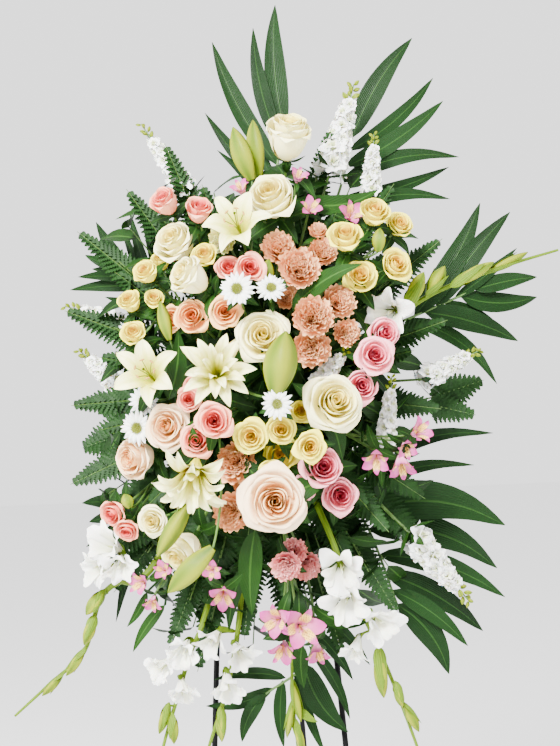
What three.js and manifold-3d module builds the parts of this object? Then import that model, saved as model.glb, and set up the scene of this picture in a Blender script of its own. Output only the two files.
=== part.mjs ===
// A standing funeral spray: roses, spray roses, lilies, carnations, stock, gladioli, alstroemeria,
// daisies and palm leaves, with their stems pushed into two bricks of wet floral foam. The bricks sit
// in a plastic tray that hooks over a bar of a folding wire easel, whose back leg swings on its top bar.
// Millimetres, +Z up. The viewer stands on the -Y side, and the origin is on the floor under the middle.
import * as THREE from 'three';
import { ConvexGeometry } from 'three/addons/geometries/ConvexGeometry.js';
import Module from 'manifold-3d';

const wasm = await Module();
wasm.setup();
const { Manifold, Mesh: SolidMesh } = wasm;

// The photograph's frame, in pixels, and how it maps to real sizes: one pixel is 1.4 mm on the plane
// through the foam, seen from 2.6 m away at the height of the frame's middle, with the picture turned
// by 2.5 degrees.
const FRAME_WIDTH = 560;
const FRAME_HEIGHT = 746;
const MM_PER_PIXEL = 1.4;
const EYE_DISTANCE = 2600;
const ROLL = THREE.MathUtils.degToRad(2.5);
const FRAME_FOOT = 430; // the height above the floor of the frame's lower edge
const EYE_HEIGHT = FRAME_FOOT + (FRAME_HEIGHT / 2) * MM_PER_PIXEL;

// The easel: wire of 8 mm, 1.2 m tall, leaning back, with a back leg that opens the other way
const WIRE = 4; // the wire's radius
const EASEL_X = -22;
const EASEL_HEIGHT = 1200;
const LEAN = THREE.MathUtils.degToRad(14);
const BACK_LEAN = THREE.MathUtils.degToRad(12);
const TOP_HALF = 45; // half the distance between the front legs at the top bar
const FOOT_HALF = 115; // and at the floor
const BACK_FOOT_SHIFT = 50; // the back foot stands this far to the right of its eye
const LOW_BAR = 290; // how high up the front legs the lower bar is
const EYE_CLEARANCE = 0.6; // between the back leg's eye and the bar it turns on
const GAP = 0.35; // between pieces that touch

// The foam: two bricks, one above the other, in a tray with a low rim
const FOAM_HEIGHT = 935; // the middle of the foam, above the floor
const BRICK = { width: 230, height: 110, depth: 80 };
const TRAY_WALL = 3;
const TRAY_RIM = 22; // how far the rim reaches forward along the foam's sides
const STEM_DEPTH = 26; // how far a stem is pushed into the foam
const FOCUS_BACK = 16; // stems aim at a point this far behind the foam's middle

// Stems and blades
const MAIN_STEM = 2.6;
const SIDE_STEM = 1.7;
const HOLE_SLACK = 0.7; // from a stem's corners to its hole's
const RIB = 1.8; // a blade's thickness at its rib

const COLOURS = {
  cream: 0xf3ecd2,
  blush: 0xf2dccb,
  white: 0xf7f6f0,
  yellow: 0xf1d774,
  pink: 0xe9a3ad,
  coral: 0xec9f93,
  peach: 0xefc09d,
  mauve: 0xdf9fc8,
  lily: 0xf1efae,
  leaf: 0x2f6b2c,
  fern: 0x2b5a2c,
  spear: 0xb5cc5a,
  wire: 0x16181d,
  tray: 0x1f5a35,
  foam: 0x2f5d3a,
};

// Where a point of the photograph lies when it stands `forward` mm nearer than the foam's middle
const IMAGE_RIGHT = new THREE.Vector3(Math.cos(ROLL), 0, -Math.sin(ROLL));
const IMAGE_UP = new THREE.Vector3(Math.sin(ROLL), 0, Math.cos(ROLL));
const TO_VIEWER = new THREE.Vector3(0, -1, 0);
function spot(across, down, forward) {
  const scale = MM_PER_PIXEL * (1 - forward / EYE_DISTANCE);
  return new THREE.Vector3(0, 0, EYE_HEIGHT)
    .addScaledVector(IMAGE_RIGHT, (across - FRAME_WIDTH / 2) * scale)
    .addScaledVector(IMAGE_UP, (FRAME_HEIGHT / 2 - down) * scale)
    .addScaledVector(TO_VIEWER, forward);
}

// How far forward the flowers stand over a point of the photograph: a dome, fullest in the middle
const DOME = { across: 265, down: 385, halfWidth: 195, halfHeight: 300, rim: 55, rise: 185 };
function domeAt(across, down) {
  const u = (across - DOME.across) / DOME.halfWidth;
  const v = (down - DOME.down) / DOME.halfHeight;
  return DOME.rim + DOME.rise * Math.sqrt(Math.max(0, 1 - u * u - v * v));
}

// A closed solid through rings of points. A ring of one point is a pole, an open end is capped, and rings
// of unlike numbers of points are stitched by sharing the points of the smaller one out.
function loft(rings) {
  const points = rings.flat();
  const starts = [];
  rings.reduce((sum, ring) => (starts.push(sum), sum + ring.length), 0);
  const faces = [];
  for (let i = 0; i + 1 < rings.length; i++) {
    const n = Math.max(rings[i].length, rings[i + 1].length);
    const at = (row, k) => starts[row] + (Math.floor((k * rings[row].length) / n) % rings[row].length);
    for (let k = 0; k < n; k++) {
      const [a, b, nextA, nextB] = [at(i, k), at(i + 1, k), at(i, k + 1), at(i + 1, k + 1)];
      if (b !== nextB) faces.push([a, b, nextB]);
      if (a !== nextA) faces.push([a, nextB, nextA]);
    }
  }
  const last = rings.length - 1;
  for (let k = 1; k + 1 < rings[0].length; k++) faces.push([0, k, k + 1]);
  for (let k = 1; k + 1 < rings[last].length; k++) {
    faces.push([starts[last], starts[last] + k + 1, starts[last] + k]);
  }
  const signedVolume = faces.reduce((sum, [a, b, c]) => {
    return sum + points[a].dot(new THREE.Vector3().crossVectors(points[b], points[c]));
  }, 0);
  if (signedVolume < 0) faces.forEach((face) => face.reverse());
  return new Manifold(
    new SolidMesh({
      numProp: 3,
      vertProperties: new Float32Array(points.flatMap((p) => [p.x, p.y, p.z])),
      triVerts: new Uint32Array(faces.flat()),
    }),
  );
}

// Two directions square to `axis` and to each other
function squareTo(axis) {
  const hint = Math.abs(axis.z) < 0.9 ? new THREE.Vector3(0, 0, 1) : new THREE.Vector3(0, 1, 0);
  const side = new THREE.Vector3().crossVectors(hint, axis).normalize();
  return [side, new THREE.Vector3().crossVectors(axis, side)];
}

// A tube along a line of points, with few sides
function tube(points, radius, sides = 3) {
  const rings = points.map((point, i) => {
    const before = points[Math.max(0, i - 1)];
    const after = points[Math.min(points.length - 1, i + 1)];
    const [a, b] = squareTo(after.clone().sub(before).normalize());
    const size = Array.isArray(radius) ? radius[i] : radius;
    return Array.from({ length: sides }, (_, k) => {
      const turn = (2 * Math.PI * (k + 0.5)) / sides;
      return point
        .clone()
        .addScaledVector(a, size * Math.cos(turn))
        .addScaledVector(b, size * Math.sin(turn));
    });
  });
  return loft(rings);
}

// A blade along a line of points: a section with two sharp edges and a thick rib, folded up towards `face`
function blade(points, widths, face, fold = 0.25, rib = RIB) {
  const rings = points.map((point, i) => {
    if (widths[i] === 0) return [point];
    const before = points[Math.max(0, i - 1)];
    const after = points[Math.min(points.length - 1, i + 1)];
    const along = after.clone().sub(before).normalize();
    const side = new THREE.Vector3().crossVectors(along, face).normalize();
    const up = new THREE.Vector3().crossVectors(side, along);
    const half = widths[i] / 2;
    const edge = (sign) =>
      point.clone().addScaledVector(side, sign * half).addScaledVector(up, fold * half);
    return [
      edge(-1),
      point.clone().addScaledVector(up, rib / 2),
      edge(1),
      point.clone().addScaledVector(up, -rib / 2),
    ];
  });
  return loft(rings);
}

// The rings of a head turned about its axis. Each row of `profile` is [out, up] in units of the head's
// radius, where a list is dealt round the sides in turn, which makes the petals. A row that is 0 out is
// a pole.
function turned(centre, axis, radius, profile, sides, spin = 0) {
  const [a, b] = squareTo(axis);
  const dealt = (value, k) => radius * (Array.isArray(value) ? value[k % value.length] : value);
  return profile.map(([out, up]) => {
    const point = (k) => {
      const turn = spin + (2 * Math.PI * k) / sides;
      return centre
        .clone()
        .addScaledVector(a, dealt(out, k) * Math.cos(turn))
        .addScaledVector(b, dealt(out, k) * Math.sin(turn))
        .addScaledVector(axis, dealt(up, k));
    };
    return out === 0 ? [point(0)] : Array.from({ length: sides }, (_, k) => point(k));
  });
}

// The same rings on a three-sided stalk that comes from `foot`, in place of the pole at their back
function stalked(foot, rings, axis, thick, spin = 0, thin = SIDE_STEM) {
  const back = rings[0][0];
  const way = back.clone().sub(foot).normalize();
  const [a] = squareTo(axis);
  const ring = (centre, normal, radius) => {
    const u = a.clone().addScaledVector(normal, -a.dot(normal)).normalize();
    const v = new THREE.Vector3().crossVectors(normal, u);
    return [0, 1, 2].map((k) => {
      const turn = spin + (2 * Math.PI * k) / 3;
      return centre
        .clone()
        .addScaledVector(u, radius * Math.cos(turn))
        .addScaledVector(v, radius * Math.sin(turn));
    });
  };
  const half = way.clone().add(axis).normalize();
  return [ring(foot, way, thick), ring(back, half, thin), ...rings.slice(1)];
}

// The kinds of head: the profile and its number of sides, and how much room the head's ball needs, in
// units of its radius
const HEADS = {
  rose: {
    sides: 10,
    girth: 0.98,
    profile: [
      [0, -0.75],
      [0.9, -0.08],
      [[1.07, 0.92], [0.26, 0.14]],
      [0.74, 0.12],
      [[0.62, 0.74], [0.46, 0.38]],
      [0.42, 0.26],
      [[0.4, 0.3], [0.54, 0.46]],
      [0, 0.32],
    ],
  },
  sprayRose: {
    sides: 7,
    girth: 1.04,
    profile: [
      [0, -0.85],
      [0.86, -0.1],
      [[1.06, 0.95], [0.36, 0.26]],
      [0.6, 0.2],
      [[0.36, 0.5], [0.5, 0.42]],
      [0, 0.28],
    ],
  },
  carnation: {
    sides: 8,
    girth: 0.95,
    profile: [[0, -1.05], [0.46, -0.35], [[1.04, 0.9], [0.26, 0]], [[0.48, 0.6], [0.28, 0.5]], [0, 0.28]],
  },
  daisy: {
    sides: 18,
    girth: 0.9,
    profile: [[0, -0.25], [[1, 0.5], [0, 0.05]], [0.26, 0.14], [0, 0.2]],
  },
  lily: {
    sides: 24,
    girth: 0.88,
    profile: [
      [0, -1.05],
      [0.2, -0.6],
      [[1.1, 0.84, 0.36, 0.84], [0.02, 0.2, -0.2, 0.2]],
      [0.22, -0.2],
      [0, -0.32],
    ],
  },
  lilyHeart: {
    sides: 10,
    girth: 0,
    profile: [[0, -0.5], [[0.62, 0.36], [0.52, 0.16]], [[0.14, 0.3], [0.12, 0.4]], [0, 0.05]],
  },
  inca: {
    sides: 12,
    girth: 0.75,
    profile: [[0, -1.25], [0.28, -0.6], [[1, 0.5], [0.25, 0.05]], [0, -0.25]],
  },
  trumpet: {
    sides: 8,
    girth: 0.8,
    profile: [[0, -1.35], [0.4, -0.45], [[1.05, 0.8], [0.4, 0.2]], [0.3, 0.02], [0, -0.15]],
  },
};
function headOf(kind, centre, axis, radius, spin) {
  return turned(centre, axis, radius, HEADS[kind].profile, HEADS[kind].sides, spin);
}

// The rings of a closed bud from its base to its tip
function bud(base, tip, width, sides = 5) {
  const axis = tip.clone().sub(base);
  const length = axis.length();
  const half = width / 2;
  const profile = [
    [0, 0],
    [half * 0.7, length * 0.2],
    [half, length * 0.55],
    [half * 0.5, length * 0.88],
    [0, length],
  ];
  return turned(base, axis.normalize(), 1, profile, sides);
}

// The rings of a spike of stock from its foot to its tip: whorls of three flowers, each whorl turned
// against the one below it
const WHORLS = 5;
function spike(foot, tip, radius) {
  const axis = tip.clone().sub(foot);
  const length = axis.length() / radius;
  const profile = [[0, -0.2]];
  for (let i = 0; i < WHORLS; i++) {
    const size = 1 - (0.62 * i) / (WHORLS - 1);
    const up = (length * (i + 0.35)) / WHORLS;
    const lobes = i % 2 ? [size * 0.55, size] : [size, size * 0.55];
    profile.push([lobes, up], [0.36 * size, up + (length * 0.42) / WHORLS]);
  }
  profile.push([0, length * 1.04]);
  return turned(foot, axis.normalize(), radius, profile, 6);
}

// A leaf that grows from `origin`, with its broad part from `base` to `tip`, bowed to one side of the
// straight line by `bow` of its length
const BROAD_LEAF = { from: 22, shares: [0, 0.4, 0.7, 1], widths: [0.25, 1, 0.74, 0] };
const NARROW_LEAF = { shares: [0, 0.48, 1], widths: [0.3, 1, 0] };
const PETIOLE = 3; // the breadth of a leaf's stalk
function leaf(origin, base, tip, width, bow = 0.06) {
  const { shares, widths: breadths } = width < BROAD_LEAF.from ? NARROW_LEAF : BROAD_LEAF;
  const along = tip.clone().sub(base);
  const face = TO_VIEWER.clone().addScaledVector(IMAGE_UP, 0.35).normalize();
  const sag = new THREE.Vector3().crossVectors(along.clone().normalize(), TO_VIEWER).normalize();
  const points = shares.map((t) =>
    base.clone().addScaledVector(along, t).addScaledVector(sag, 4 * bow * along.length() * t * (1 - t)),
  );
  const widths = breadths.map((w) => w * width);
  if (origin.distanceTo(base) < width) {
    points[0] = origin;
    widths[0] = PETIOLE;
  } else {
    points.unshift(origin);
    widths.unshift(PETIOLE);
  }
  return blade(points, widths, face, 0.22);
}

// A fern leaf that grows from `origin`: one thin blade along a rib, with its leaflets cut to the rib
function fern(origin, base, tip, width, pairs) {
  const along = tip.clone().sub(base);
  const points = [origin, base];
  const widths = [PETIOLE, PETIOLE];
  for (let i = 0; i < pairs; i++) {
    const reach = width * (1 - (0.75 * i) / pairs);
    points.push(base.clone().addScaledVector(along, (i + 0.62) / (pairs + 0.3)));
    points.push(base.clone().addScaledVector(along, (i + 0.95) / (pairs + 0.3)));
    widths.push(reach, PETIOLE);
  }
  points.push(tip);
  widths.push(0);
  return blade(points, widths, TO_VIEWER, 0.12, 1.5);
}

// The plants. A head is [kind, across, down, radius, lift, right, up, and a kind that fills it]: its place
// and radius in the photograph's pixels, how far it stands forward of the dome in mm, and which way it
// faces in the picture, where 0, 0 looks at the viewer. A bud is [base across, down, tip across, down,
// width, lift]. A leaf is [base across, down, forward, tip across, down, forward, width, bow], with
// forward in mm, and a fern leaf the same with its pairs of leaflets in place of the bow. A spike of
// stock is [foot across, down, forward, tip across, down, forward, radius]. A spine is a line of [across,
// down, forward] points.
const PLANTS = [
  // Large roses
  {
    name: 'cream_roses_top', colour: 'cream',
    heads: [['rose', 288, 140, 25, 10, 0.05, 0.85], ['rose', 272, 199, 26, 10, -0.25, 0.5]],
  },
  {
    name: 'white_roses_left', colour: 'cream',
    heads: [['rose', 177, 244, 22, 0, -0.45, 0.5], ['rose', 192, 279, 20, 20, -0.7, 0.45]],
  },
  {
    name: 'cream_rose_upper', colour: 'cream',
    heads: [['rose', 263, 336, 26, 10, 0, 0.25]],
    leaves: [[292, 310, 225, 362, 264, 262, 20, -0.08]],
  },
  { name: 'cream_rose_right', colour: 'cream', heads: [['rose', 334, 403, 28, 20, 0.2, 0.25]] },
  {
    name: 'blush_rose_low', colour: 'blush',
    heads: [['rose', 275, 501, 30, 40, 0, 0.05]],
    leaves: [[255, 530, 180, 252, 615, 160, 24, 0.04], [246, 565, 150, 229, 631, 135, 14, 0.06]],
  },
  {
    name: 'blush_roses_left', colour: 'blush',
    heads: [['rose', 168, 427, 22, 5, -0.3, 0.1], ['rose', 138, 457, 22, 0, -0.65, -0.1]],
  },
  {
    name: 'white_roses_low_left', colour: 'cream',
    heads: [['rose', 184, 549, 22, 10, -0.5, -0.5], ['rose', 153, 521, 15, -10, -0.3, 0]],
  },
  // Spray roses
  {
    name: 'yellow_roses_right', colour: 'yellow',
    heads: [
      ['sprayRose', 346, 238, 18, 25, -0.1, 0.6], ['sprayRose', 374, 214, 17, 15, 0.15, 0.6],
      ['sprayRose', 399, 226, 15, 15, 0.3, 0.45], ['sprayRose', 395, 265, 17, 25, 0.35, 0.3],
      ['sprayRose', 360, 276, 18, 20, 0.1, 0.3],
    ],
    buds: [[378, 252, 380, 228, 12, 22]],
  },
  {
    name: 'yellow_roses_left', colour: 'yellow',
    heads: [
      ['sprayRose', 147, 273, 14, 10, -0.4, 0.5], ['sprayRose', 161, 262, 11, 0, -0.1, 0.7],
      ['sprayRose', 130, 303, 13, 10, -0.3, 0.6], ['sprayRose', 154, 299, 11, -5, 0, 0.5],
      ['sprayRose', 134, 334, 14, 5, -0.2, 0.5], ['sprayRose', 205, 256, 14, 5, -0.2, 0.5],
    ],
  },
  {
    name: 'pink_roses_upper_left', colour: 'coral',
    heads: [
      ['sprayRose', 166, 203, 16, 15, -0.4, 0.6], ['sprayRose', 199, 212, 15, 5, 0.1, 0.7],
      ['sprayRose', 229, 268, 14, 0, 0, 0.4], ['sprayRose', 250, 268, 15, 12, 0.1, 0.2],
    ],
  },
  {
    name: 'peach_roses_left', colour: 'peach',
    heads: [
      ['sprayRose', 192, 316, 18, 5, -0.15, 0.1], ['sprayRose', 225, 312, 16, 5, 0, 0.1],
      ['sprayRose', 174, 319, 13, -10, -0.5, 0],
    ],
  },
  {
    name: 'pink_roses_right', colour: 'pink',
    heads: [
      ['sprayRose', 384, 333, 17, 10, 0.3, 0.1], ['sprayRose', 375, 355, 19, 25, 0.1, 0.15],
      ['sprayRose', 362, 386, 17, 0, 0.1, 0.1],
    ],
  },
  {
    name: 'pink_roses_low_right', colour: 'pink',
    heads: [
      ['sprayRose', 323, 467, 21, 5, 0.1, 0.15], ['sprayRose', 307, 487, 14, -5, 0.05, -0.1],
      ['sprayRose', 340, 495, 19, 5, 0.1, 0],
    ],
  },
  {
    name: 'coral_roses_centre', colour: 'coral',
    heads: [
      ['sprayRose', 214, 421, 18, 15, 0, 0.1], ['sprayRose', 197, 440, 17, 5, -0.1, 0],
      ['sprayRose', 189, 400, 13, 0, 0, 0.2], ['sprayRose', 192, 384, 9, -15, -0.1, 0.3],
    ],
  },
  {
    name: 'yellow_roses_centre', colour: 'yellow',
    heads: [
      ['sprayRose', 281, 430, 15, 15, 0, 0.15], ['sprayRose', 280, 455, 17, 0, 0, 0.1],
      ['sprayRose', 310, 447, 15, 15, 0.15, 0], ['sprayRose', 271, 471, 13, 12, 0, -0.1],
      ['sprayRose', 301, 411, 12, -10, 0.1, 0.1], ['sprayRose', 251, 437, 17, 15, -0.05, 0.05],
    ],
  },
  {
    name: 'coral_roses_low_left', colour: 'coral',
    heads: [['sprayRose', 115, 513, 15, 15, -0.5, -0.3], ['sprayRose', 128, 529, 13, 10, -0.2, -0.5]],
    buds: [[130, 508, 124, 494, 11, 15]],
  },
  // Carnations
  {
    name: 'peach_carnations_upper', colour: 'peach',
    heads: [
      ['carnation', 279, 248, 16, 5, 0, 0.3], ['carnation', 299, 268, 19, 15, 0.1, 0.2],
      ['carnation', 322, 252, 14, 5, 0.2, 0.3], ['carnation', 318, 231, 9, 0, 0.1, 0.6],
    ],
  },
  {
    name: 'peach_carnations_right', colour: 'peach',
    heads: [
      ['carnation', 313, 317, 19, 20, 0.05, 0.1], ['carnation', 339, 302, 16, 5, 0.2, 0.15],
      ['carnation', 312, 348, 18, -5, 0, -0.1], ['carnation', 347, 333, 13, 0, 0.2, 0],
      ['carnation', 287, 296, 12, -20, 0, 0.1],
    ],
  },
  {
    name: 'peach_carnations_low', colour: 'peach',
    heads: [
      ['carnation', 235, 463, 19, 5, -0.1, 0.05], ['carnation', 232, 512, 18, 0, -0.1, -0.05],
      ['carnation', 244, 486, 10, -15, 0, 0],
    ],
  },
  {
    name: 'pink_carnations', colour: 'pink',
    heads: [
      ['carnation', 286, 566, 14, 10, -0.1, -0.2], ['carnation', 306, 566, 14, 5, 0.1, -0.2],
      ['carnation', 294, 551, 12, 5, 0, 0.2],
    ],
  },
  // Lilies, with the buds that grow on the same stems
  {
    name: 'lily_left', colour: 'lily',
    heads: [['lily', 147, 372, 31, 16, -0.2, 0.3]],
    buds: [[170, 340, 160, 301, 12, 0]],
    leaves: [[168, 400, 190, 178, 330, 215, 20, 0.06]],
  },
  {
    name: 'lily_centre', colour: 'lily',
    heads: [['lily', 216, 370, 33, 12, 0, 0.2, 'lilyHeart']],
    buds: [[276, 394, 286, 331, 29, 62]],
  },
  {
    name: 'lily_low', colour: 'lily',
    heads: [['lily', 192, 482, 34, 15, -0.1, -0.6, 'lilyHeart']],
    buds: [[213, 548, 168, 593, 19, 95], [188, 505, 157, 557, 16, 52]],
  },
  {
    name: 'lily_top', colour: 'lily',
    heads: [['lily', 236, 222, 31, 20, -0.2, 0.45], ['carnation', 222, 240, 13, -5, -0.2, -0.1]],
    buds: [[252, 180, 233, 127, 19, -25], [259, 178, 253, 120, 17, -45], [262, 294, 269, 259, 15, 0]],
  },
  // Daisies
  {
    name: 'daisies_centre', colour: 'white',
    fork: 0.3,
    heads: [
      ['daisy', 277, 404, 15, 70, 0, 0.1], ['daisy', 237, 289, 17, 30, -0.15, 0.3],
      ['daisy', 271, 288, 15, 30, 0.05, 0.5],
    ],
  },
  {
    name: 'daisies_left', colour: 'white',
    fork: 0.88,
    heads: [['daisy', 144, 401, 16, 10, -0.3, 0.2], ['daisy', 137, 428, 17, 15, -0.3, 0]],
  },
  // Stock
  {
    name: 'stock_top_right', colour: 'white',
    spikes: [[330, 172, 95, 354, 84, 80, 19], [371, 196, 80, 374, 134, 70, 13]],
  },
  { name: 'stock_top_left', colour: 'white', spikes: [[186, 190, 80, 141, 124, 65, 14]] },
  {
    name: 'stock_left', colour: 'white',
    spikes: [[132, 328, 60, 65, 306, 40, 15], [122, 390, 60, 79, 350, 40, 15]],
  },
  {
    name: 'stock_centre_right', colour: 'white',
    spikes: [[318, 384, 190, 349, 348, 205, 12], [385, 446, 140, 392, 376, 140, 13]],
  },
  { name: 'stock_right', colour: 'white', spikes: [[426, 378, 80, 480, 350, 75, 14]] },
  { name: 'stock_low_right', colour: 'white', spikes: [[412, 536, 90, 470, 602, 85, 19]] },
  // Gladioli: a spine with open trumpets and closed buds along it
  {
    name: 'gladiolus_right', colour: 'spear', stalk: 5.5,
    spine: [[386, 330, 130], [404, 312, 128], [440, 290, 115], [505, 266, 95], [558, 250, 80]],
    heads: [['trumpet', 388, 312, 19, 5, -0.3, -0.1]],
    buds: [
      [408, 304, 424, 272, 14, 12], [428, 294, 445, 266, 14, 9],
      [455, 284, 494, 262, 11, 8], [488, 272, 528, 252, 9, 6],
    ],
  },
  {
    name: 'gladiolus_left', colour: 'spear', stalk: 5.5,
    spine: [[150, 570, 120], [118, 582, 105], [99, 602, 98], [84, 652, 85], [52, 682, 75], [15, 716, 62]],
    heads: [
      ['trumpet', 108, 545, 17, 8, -0.5, 0.3], ['trumpet', 97, 568, 15, 5, -0.6, -0.2],
      ['trumpet', 120, 566, 15, 8, 0, -0.4],
    ],
    buds: [
      [103, 592, 86, 615, 12, 10], [94, 618, 84, 645, 11, 9],
      [84, 650, 66, 676, 9, 8], [62, 675, 42, 696, 8, 7],
    ],
  },
  {
    name: 'gladioli_bottom_left', colour: 'white', stalk: 4.5,
    spine: [[206, 612, 114], [191, 651, 114], [177, 699, 107], [164, 744, 102], [158, 777, 98]],
    heads: [
      ['trumpet', 183, 653, 15, 13, -0.2, -0.45], ['trumpet', 162, 668, 14, 4, -0.6, -0.4],
      ['trumpet', 183, 692, 13, 9, 0.15, -0.75],
    ],
    buds: [[168, 706, 159, 734, 9, 9], [172, 716, 174, 744, 10, 12]],
  },
  {
    name: 'gladioli_bottom', colour: 'white', stalk: 4.5,
    spine: [[240, 610, 118], [235, 650, 118], [224, 700, 112], [211, 740, 106], [201, 778, 101]],
    heads: [
      ['trumpet', 212, 642, 14, 4, -0.4, -0.5], ['trumpet', 240, 655, 15, 6, 0.3, -0.5],
      ['trumpet', 228, 688, 15, 6, 0.1, -0.7],
    ],
    buds: [[221, 710, 222, 742, 10, 10]],
  },
  {
    name: 'gladioli_low_right', colour: 'white', stalk: 4.5,
    spine: [
      [332, 540, 165], [346, 585, 160], [368, 625, 145],
      [392, 680, 122], [413, 735, 108], [427, 775, 103],
    ],
    heads: [
      ['trumpet', 341, 570, 19, 4, 0, -0.2], ['trumpet', 347, 603, 18, 8, -0.1, -0.4],
      ['trumpet', 379, 622, 17, 6, 0.4, -0.3], ['trumpet', 355, 650, 12, 4, -0.3, -0.8],
    ],
    buds: [[379, 652, 384, 698, 13, 12], [396, 684, 403, 708, 9, 9], [404, 704, 419, 732, 10, 10]],
  },
  {
    name: 'green_spears_bottom', colour: 'spear',
    spine: [[286, 600, 110], [291, 650, 108], [293, 700, 105], [297, 740, 100], [300, 776, 95]],
    buds: [[292, 680, 301, 722, 9, 9], [293, 700, 287, 738, 8, 9], [295, 722, 304, 756, 8, 8]],
    leaves: [[296, 706, 108, 318, 722, 112, 9, 0.08]],
  },
  // Alstroemeria
  {
    name: 'alstroemeria_bottom', colour: 'mauve',
    heads: [
      ['inca', 302, 628, 19, 70, 0.15, 0], ['inca', 275, 621, 15, 60, -0.3, 0],
      ['inca', 283, 652, 13, 55, -0.1, -0.6], ['inca', 318, 655, 12, 50, 0.1, -0.8],
    ],
    leaves: [[313, 606, 150, 368, 622, 150, 18, 0.12], [302, 645, 130, 304, 688, 130, 16, 0.05]],
  },
  {
    name: 'alstroemeria_low_left', colour: 'mauve',
    heads: [
      ['inca', 152, 604, 9, 30, -0.2, -0.7], ['inca', 139, 583, 11, 30, -0.5, -0.1],
      ['inca', 163, 570, 9, 15, -0.2, 0.2], ['inca', 223, 597, 13, 40, 0, -0.4],
      ['inca', 212, 571, 9, 15, -0.1, 0],
    ],
    leaves: [[165, 605, 100, 133, 652, 95, 12, 0.05], [147, 592, 95, 127, 627, 90, 9, -0.05]],
  },
  {
    name: 'alstroemeria_right', colour: 'mauve',
    heads: [
      ['inca', 376, 461, 13, 10, -0.1, -0.5], ['inca', 402, 468, 13, 20, 0.1, -0.8],
      ['inca', 421, 431, 12, 30, 0.6, 0.3], ['inca', 407, 449, 10, 15, 0.2, -0.5],
    ],
    leaves: [[362, 432, 150, 382, 488, 135, 14, -0.1]],
  },
  {
    name: 'alstroemeria_top', colour: 'mauve',
    heads: [
      ['inca', 311, 207, 10, -5, 0.2, 0.4], ['inca', 299, 175, 9, -15, 0.3, 0.7],
      ['inca', 240, 187, 9, 5, -0.3, 0.7], ['inca', 352, 213, 12, 0, 0.2, 0.4],
    ],
    leaves: [[296, 200, 130, 378, 190, 110, 22, 0.12]],
  },
  // Palm fronds and ferns. A spine is the rib, and each leaflet starts on it.
  {
    name: 'palm_top', colour: 'leaf',
    spine: [[276, 250, 60], [274, 190, 50], [284, 128, 35]],
    leaves: [
      [284, 128, 35, 275, 5, 10, 24, -0.04], [281, 147, 40, 253, 28, 24, 18, -0.05],
      [278, 166, 45, 212, 42, 12, 22, -0.05], [275, 183, 45, 232, 86, -5, 13, -0.02],
      [274, 196, 50, 205, 113, 20, 15, -0.03], [275, 212, 52, 217, 150, 45, 12, 0.03],
    ],
  },
  {
    name: 'palm_top_right', colour: 'leaf',
    spine: [[310, 260, 40], [338, 195, 35], [352, 138, 20]],
    leaves: [
      [352, 138, 20, 412, 38, 10, 24, -0.05], [349, 151, 25, 433, 78, -6, 17, 0.06],
      [345, 167, 30, 443, 101, 14, 22, 0.05], [341, 183, 32, 459, 157, 26, 19, -0.1],
      [335, 202, 35, 449, 167, -5, 16, 0.04], [328, 218, 37, 450, 199, 20, 18, -0.1],
    ],
  },
  {
    name: 'palm_right', colour: 'leaf',
    spine: [[335, 345, 40], [400, 322, 35], [474, 290, 15]],
    leaves: [
      [474, 290, 15, 537, 277, 8, 20, -0.03], [460, 296, 19, 537, 297, -6, 24, 0.08],
      [454, 299, 21, 517, 248, 0, 12, 0.02], [444, 303, 24, 503, 330, 0, 15, -0.04],
      [436, 307, 26, 510, 212, 16, 24, -0.03], [424, 312, 29, 518, 341, 24, 26, -0.05],
      [414, 316, 31, 480, 203, 8, 26, 0.05], [404, 320, 34, 497, 384, 14, 18, -0.12],
    ],
  },
  {
    name: 'palm_low_right', colour: 'leaf',
    spine: [[338, 490, 26], [368, 528, 22], [397, 604, 35]],
    leaves: [
      [397, 604, 35, 449, 674, 25, 28, -0.1], [392, 590, 32, 468, 646, 44, 20, -0.06],
      [386, 574, 30, 483, 631, 16, 27, -0.06], [378, 555, 27, 505, 597, 32, 24, -0.08],
      [368, 530, 22, 497, 568, 4, 34, -0.12], [356, 513, 23, 505, 525, 20, 44, -0.12],
      [347, 501, 24, 474, 465, -6, 16, -0.1], [339, 491, 26, 493, 433, 14, 20, -0.12],
    ],
  },
  {
    name: 'palm_bottom', colour: 'leaf',
    spine: [[290, 520, 60], [312, 600, 85], [308, 660, 90], [266, 694, 85]],
    leaves: [
      [312, 608, 85, 370, 665, 75, 14, -0.05], [311, 628, 87, 353, 680, 98, 13, -0.05],
      [309, 646, 89, 350, 719, 76, 13, -0.06], [304, 663, 90, 348, 732, 98, 28, 0.1],
      [295, 671, 89, 326, 756, 82, 12, 0.03], [283, 680, 87, 284, 748, 94, 14, 0.05],
      [266, 694, 85, 242, 742, 78, 16, 0.1], [273, 688, 86, 206, 706, 66, 15, -0.08],
      [286, 678, 88, 214, 680, 92, 13, 0.08],
    ],
  },
  {
    name: 'palm_left', colour: 'leaf',
    spine: [[225, 330, 40], [180, 305, 35], [118, 268, 12]],
    leaves: [
      [118, 268, 12, 85, 255, 5, 12, -0.03], [124, 272, 14, 92, 269, -8, 10, 0],
      [131, 276, 17, 96, 222, 5, 15, -0.03], [137, 279, 20, 78, 277, 12, 13, 0.03],
      [143, 283, 22, 121, 225, -5, 9, 0], [149, 287, 25, 70, 290, -2, 15, 0.03],
      [155, 290, 27, 130, 212, 10, 12, -0.03], [163, 295, 30, 142, 219, 0, 12, 0.02],
      [170, 299, 32, 105, 297, 36, 13, -0.08],
    ],
  },
  {
    name: 'palm_low_left', colour: 'leaf',
    spine: [[220, 470, 26], [170, 490, 26], [132, 518, 34]],
    leaves: [
      [132, 518, 34, 89, 522, 24, 16, 0.06], [140, 512, 32, 82, 503, 40, 20, 0.08],
      [147, 507, 31, 86, 547, 14, 12, 0], [155, 501, 29, 80, 566, 30, 11, 0.04],
      [163, 495, 27, 84, 581, 0, 12, 0.04], [172, 489, 26, 116, 622, 45, 14, 0.06],
    ],
  },
  {
    name: 'fern_left', colour: 'fern',
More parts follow.
